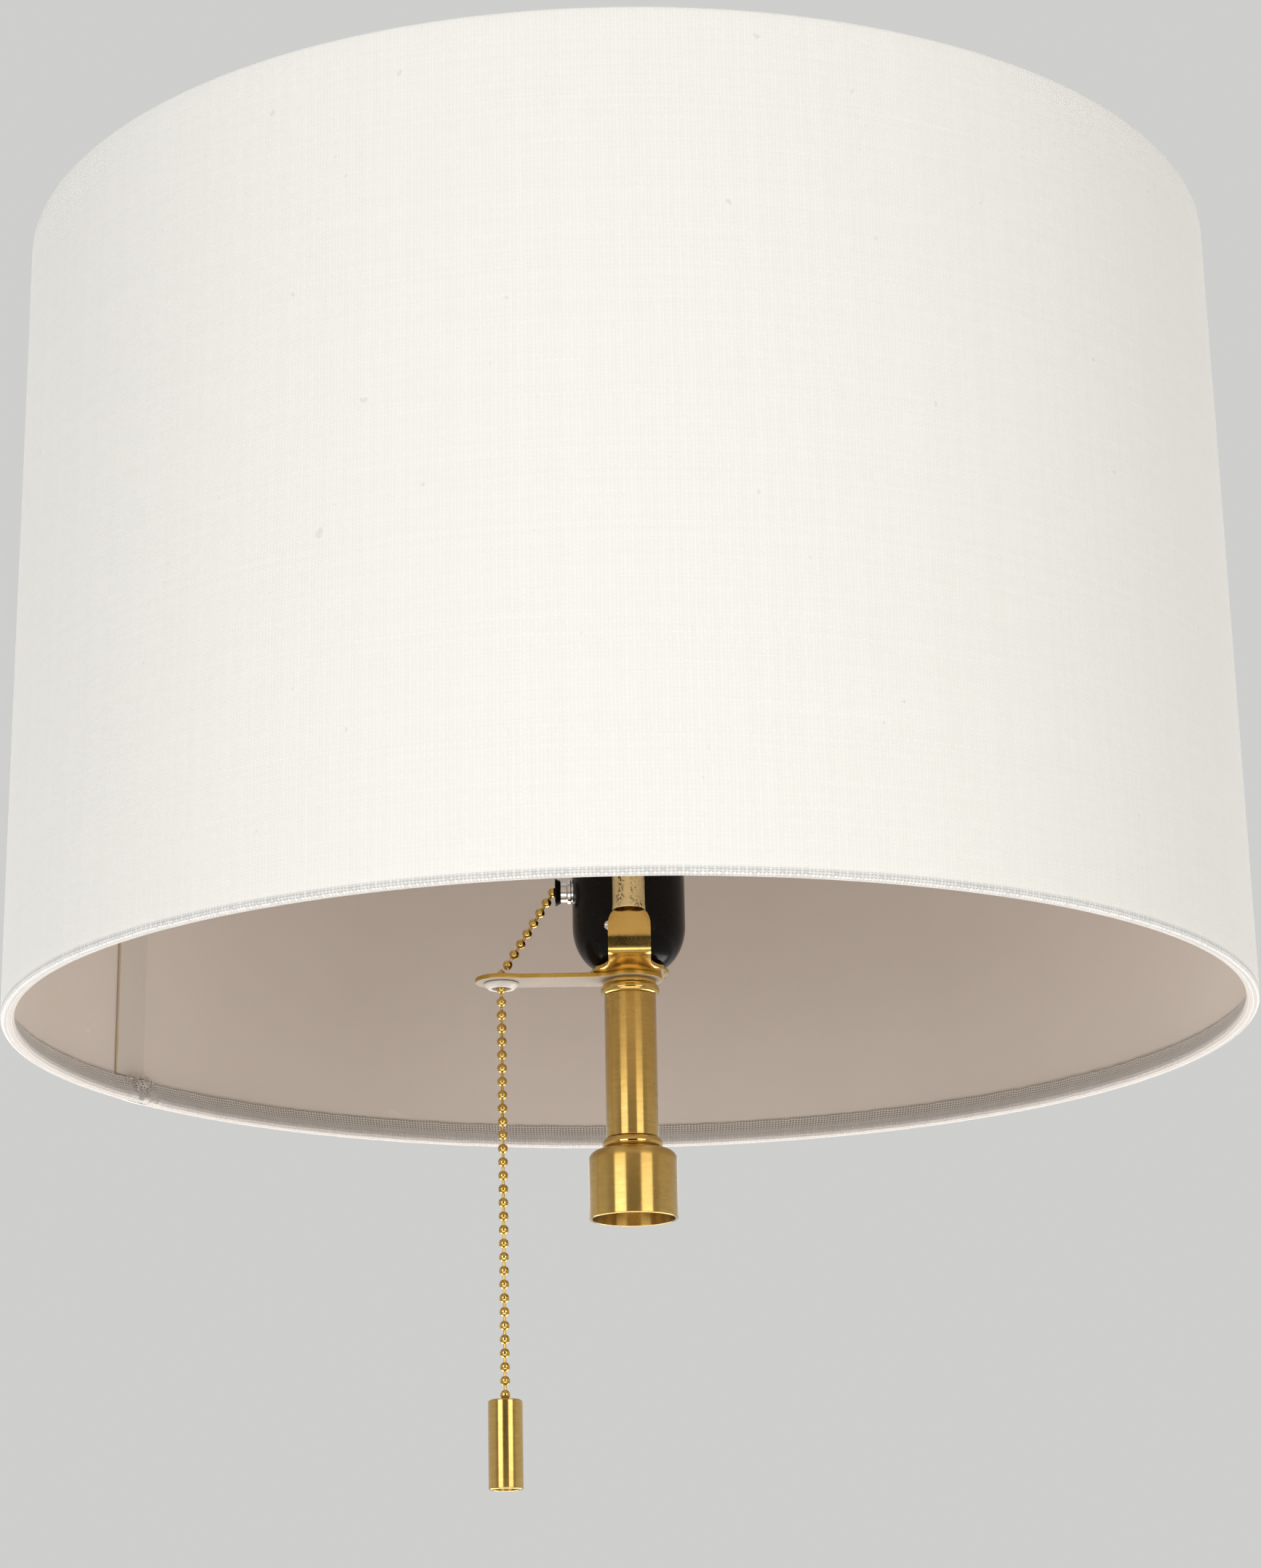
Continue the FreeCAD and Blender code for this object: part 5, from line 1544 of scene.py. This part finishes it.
def chain_run(name, tree, body, cad_node, first, step, count, before, after, seed):
    """One stretch of chain that moves as a whole."""
    piece = placed(name, bpy.data.meshes.new(name))
    modifier = piece.modifiers.new("Bead chain", "NODES")
    modifier.node_group = tree
    wanted = {
        "First bead": tuple(first),
        "Step": tuple(step),
        "Beads": count,
        "Bead width": BEAD,
        "Link width": LINK,
        "Stub before": before,
        "Stub after": after,
        "Seed": seed,
        "Finish": chain_brass,
    }
    for item in tree.interface.items_tree:
        if item.in_out == "INPUT" and item.name in wanted:
            modifier[item.identifier] = wanted[item.name]
    bpy.context.view_layer.update()
    applied(piece)
    piece.data.name = name
    piece.data.set_sharp_from_angle(angle=math.radians(50))
    return worn(piece, chain_brass, body, cad_node)


def make_chain():
    """Each stretch of the chain that moves on its own, from the pull to the lever."""
    tree = make_chain_tree()
    gap = BEAD_PITCH - BEAD
    down = Vector((0, 0, -BEAD_PITCH))
    eyelet_x = Place("arm_eyelet").middle.x
    pair = Place("chain_eyelet_beads")
    first = Vector((eyelet_x, 0, pair.high.z - BEAD / 2 - gap * 0.3))
    stub = BEAD / 2 + gap * 0.35
    chain_run("eyelet_pair", tree, "pull_chain", "chain_eyelet_beads", first, down, 2,
              BEAD / 2 + gap * 0.3, stub, 3)
    chain_run("gimbal_bead", tree, "chain_gimbal", "chain_gimbal_bead", first + down * 2, down,
              1, stub, stub, 5)
    end = Place("chain_hanging_run").low.z + BEAD / 2
    top = first + down * 3
    chain_run("hanging_beads", tree, "hanging_chain", "chain_hanging_run", top, down,
              HANGING_BEADS, stub, top.z - BEAD_PITCH * (HANGING_BEADS - 1) - end, 7)
    mouth_z = Place("spout_mouth").middle.z
    upper = Place("chain_upper_run")
    mouth = Vector((upper.high.x - BEAD / 2, 0, mouth_z))
    slope = (mouth - first).normalized()
    step = slope * SLACK_PITCH
    slack = SLACK_PITCH - BEAD
    chain_run("upper_beads", tree, "upper_chain", "chain_upper_run", mouth - step * 6, step, 7,
              BEAD / 2 + slack * 0.7, 0.2 * MM, 11)
    chain_run("entry_bead_ball", tree, "entry_bead", "chain_entry_bead", mouth - step * 7,
              step, 1, (BEAD / 2 + slack * 0.7) * 0.85, 0.2 * MM, 13)
    inward = Vector((SLACK_PITCH, 0, 0))
    chain_run("turn_bead_ball", tree, "turn_bead", "chain_turn_bead", mouth + inward, step, 1,
              BEAD / 2 + slack * 0.4, 0.2 * MM, 17)
    inner = Place("chain_inner_run")
    hook = inner.high.x - (mouth.x + SLACK_PITCH * 6)
    chain_run("inner_beads", tree, "inner_chain", "chain_inner_run", mouth + inward * 2, inward,
              5, BEAD / 2 + slack * 0.4, hook, 19)


def make_pull():
    """Plain turned pull with a drilled top, open below."""
    place = Place("pull_bell")
    radius = place.radius
    wall = 1.3 * MM
    top = place.high.z
    low = place.low.z
    corners = [
        (1.1 * MM, top, 0.2 * MM),
        (1.1 * MM, top - 1.0 * MM, 0.2 * MM),
        (radius - wall, top - 1.0 * MM, 0.5 * MM),
        (radius - wall, low, 0.2 * MM),
        (radius, low, 0.4 * MM),
        (radius, top, 0.5 * MM),
    ]
    turned_part("pull_bell_sleeve", corners, satin_brass, "pull_bell", "satin_brass",
                "pull_bell", middle=(place.middle.x, place.middle.y, 0))


# ---------------------------------------------------------------- camera, light and floor

def make_camera():
    """A low camera in front that looks a little up."""
    data = bpy.data.cameras.new("Camera")
    camera = placed("Camera", data)
    data.sensor_width = 36
    data.lens = 88.3
    data.shift_y = 0.0997
    pitch = 0.24084
    yaw = 0.00375
    roll = -0.01782
    ahead = Vector((math.sin(yaw) * math.cos(pitch), math.cos(yaw) * math.cos(pitch),
                    math.sin(pitch)))
    right = Vector((math.cos(yaw), -math.sin(yaw), 0))
    up = right.cross(ahead)
    right, up = (right * math.cos(roll) + up * math.sin(roll),
                 up * math.cos(roll) - right * math.sin(roll))
    turn = Matrix((right, up, -ahead)).transposed().to_4x4()
    stand = Vector((-0.00408, -1.20619, bottom_z - 0.2658))
    camera.matrix_world = Matrix.Translation(stand) @ turn
    data.clip_start = 0.05
    data.clip_end = 60
    bpy.context.scene.camera = camera


def make_softbox(name, turn, distance, height, size, power, colour):
    """A soft light, at a turn from the front, that points at the shade."""
    data = bpy.data.lights.new(name, "AREA")
    data.shape = "RECTANGLE"
    data.size, data.size_y = size
    data.energy = power
    data.color = colour
    lamp = placed(name, data)
    angle = math.radians(turn)
    lamp.location = (distance * math.sin(angle), -distance * math.cos(angle), height)
    aim_at = Vector((0, 0, 0.16))
    aim = aim_at - lamp.location
    lamp.rotation_euler = aim.to_track_quat("-Z", "Y").to_euler()


def make_studio():
    """Soft lights, a pale room that is dark behind the camera, and a floor far below."""
    make_softbox("Left softbox", -34, 1.9, 0.3, (1.0, 1.4), 16.4, (1.0, 0.99, 0.98))
    make_softbox("Right softbox", 35, 1.9, 0.3, (1.0, 1.4), 15, (1.0, 0.97, 0.92))
    make_softbox("Back softbox", 180, 2.4, 1.2, (2.4, 1.6), 7, (1.0, 0.99, 0.98))
    make_softbox("Low back softbox", 180, 0.55, -0.74, (1.8, 0.8), 20, (1.0, 0.97, 0.93))
    make_softbox("Low front fill", 0, 0.9, -0.88, (1.8, 0.8), 8, (1.0, 0.97, 0.94))
    world = bpy.data.worlds.new("Studio")
    bpy.context.scene.world = world
    world.use_nodes = True
    sky = world.node_tree
    ahead = node(sky, "ShaderNodeSeparateXYZ", {0: coordinates(sky, "Generated")}).outputs["Y"]
    colour = mixed(sky, ramp(sky, ahead, -0.8, -0.25), (0.04, 0.039, 0.037), (0.66, 0.655, 0.645))
    colour = mixed(sky, ramp(sky, ahead, 0.3, 0.85), colour, (0.62, 0.62, 0.61))
    sky.links.new(colour, sky.nodes["Background"].inputs["Color"])
    floor_finish, tree, shader = new_finish("Pale floor", Roughness=0.7)
    grain = noise_at(tree, coordinates(tree), 3, 3)
    colour = mixed(tree, grain, (0.60, 0.595, 0.58), (0.63, 0.625, 0.61))
    tree.links.new(colour, shader.inputs["Base Color"])
    floor_z = -1.0
    shape = bmesh.new()
    bmesh.ops.create_circle(shape, cap_ends=True, radius=3.2, segments=96)
    bmesh.ops.translate(shape, verts=shape.verts, vec=(0, 0, floor_z))
    floor = finish_mesh("floor", shape)
    floor.data.materials.append(floor_finish)
    view = bpy.context.scene.view_settings
    view.view_transform = "Standard"
    view.look = "None"


cover = make_cover()
make_hems()
make_liner()
make_side_seam()
make_spider()
make_harp()
make_stud_and_finial()
make_ferrules()
make_saddle()
make_neck()
make_lamp_pipe()
make_arm()
make_eyelet()
make_lampholder()
make_screw_shell()
make_spout()
make_set_screw()
finish_frame_parts()
make_chain()
make_pull()
make_camera()
make_studio()
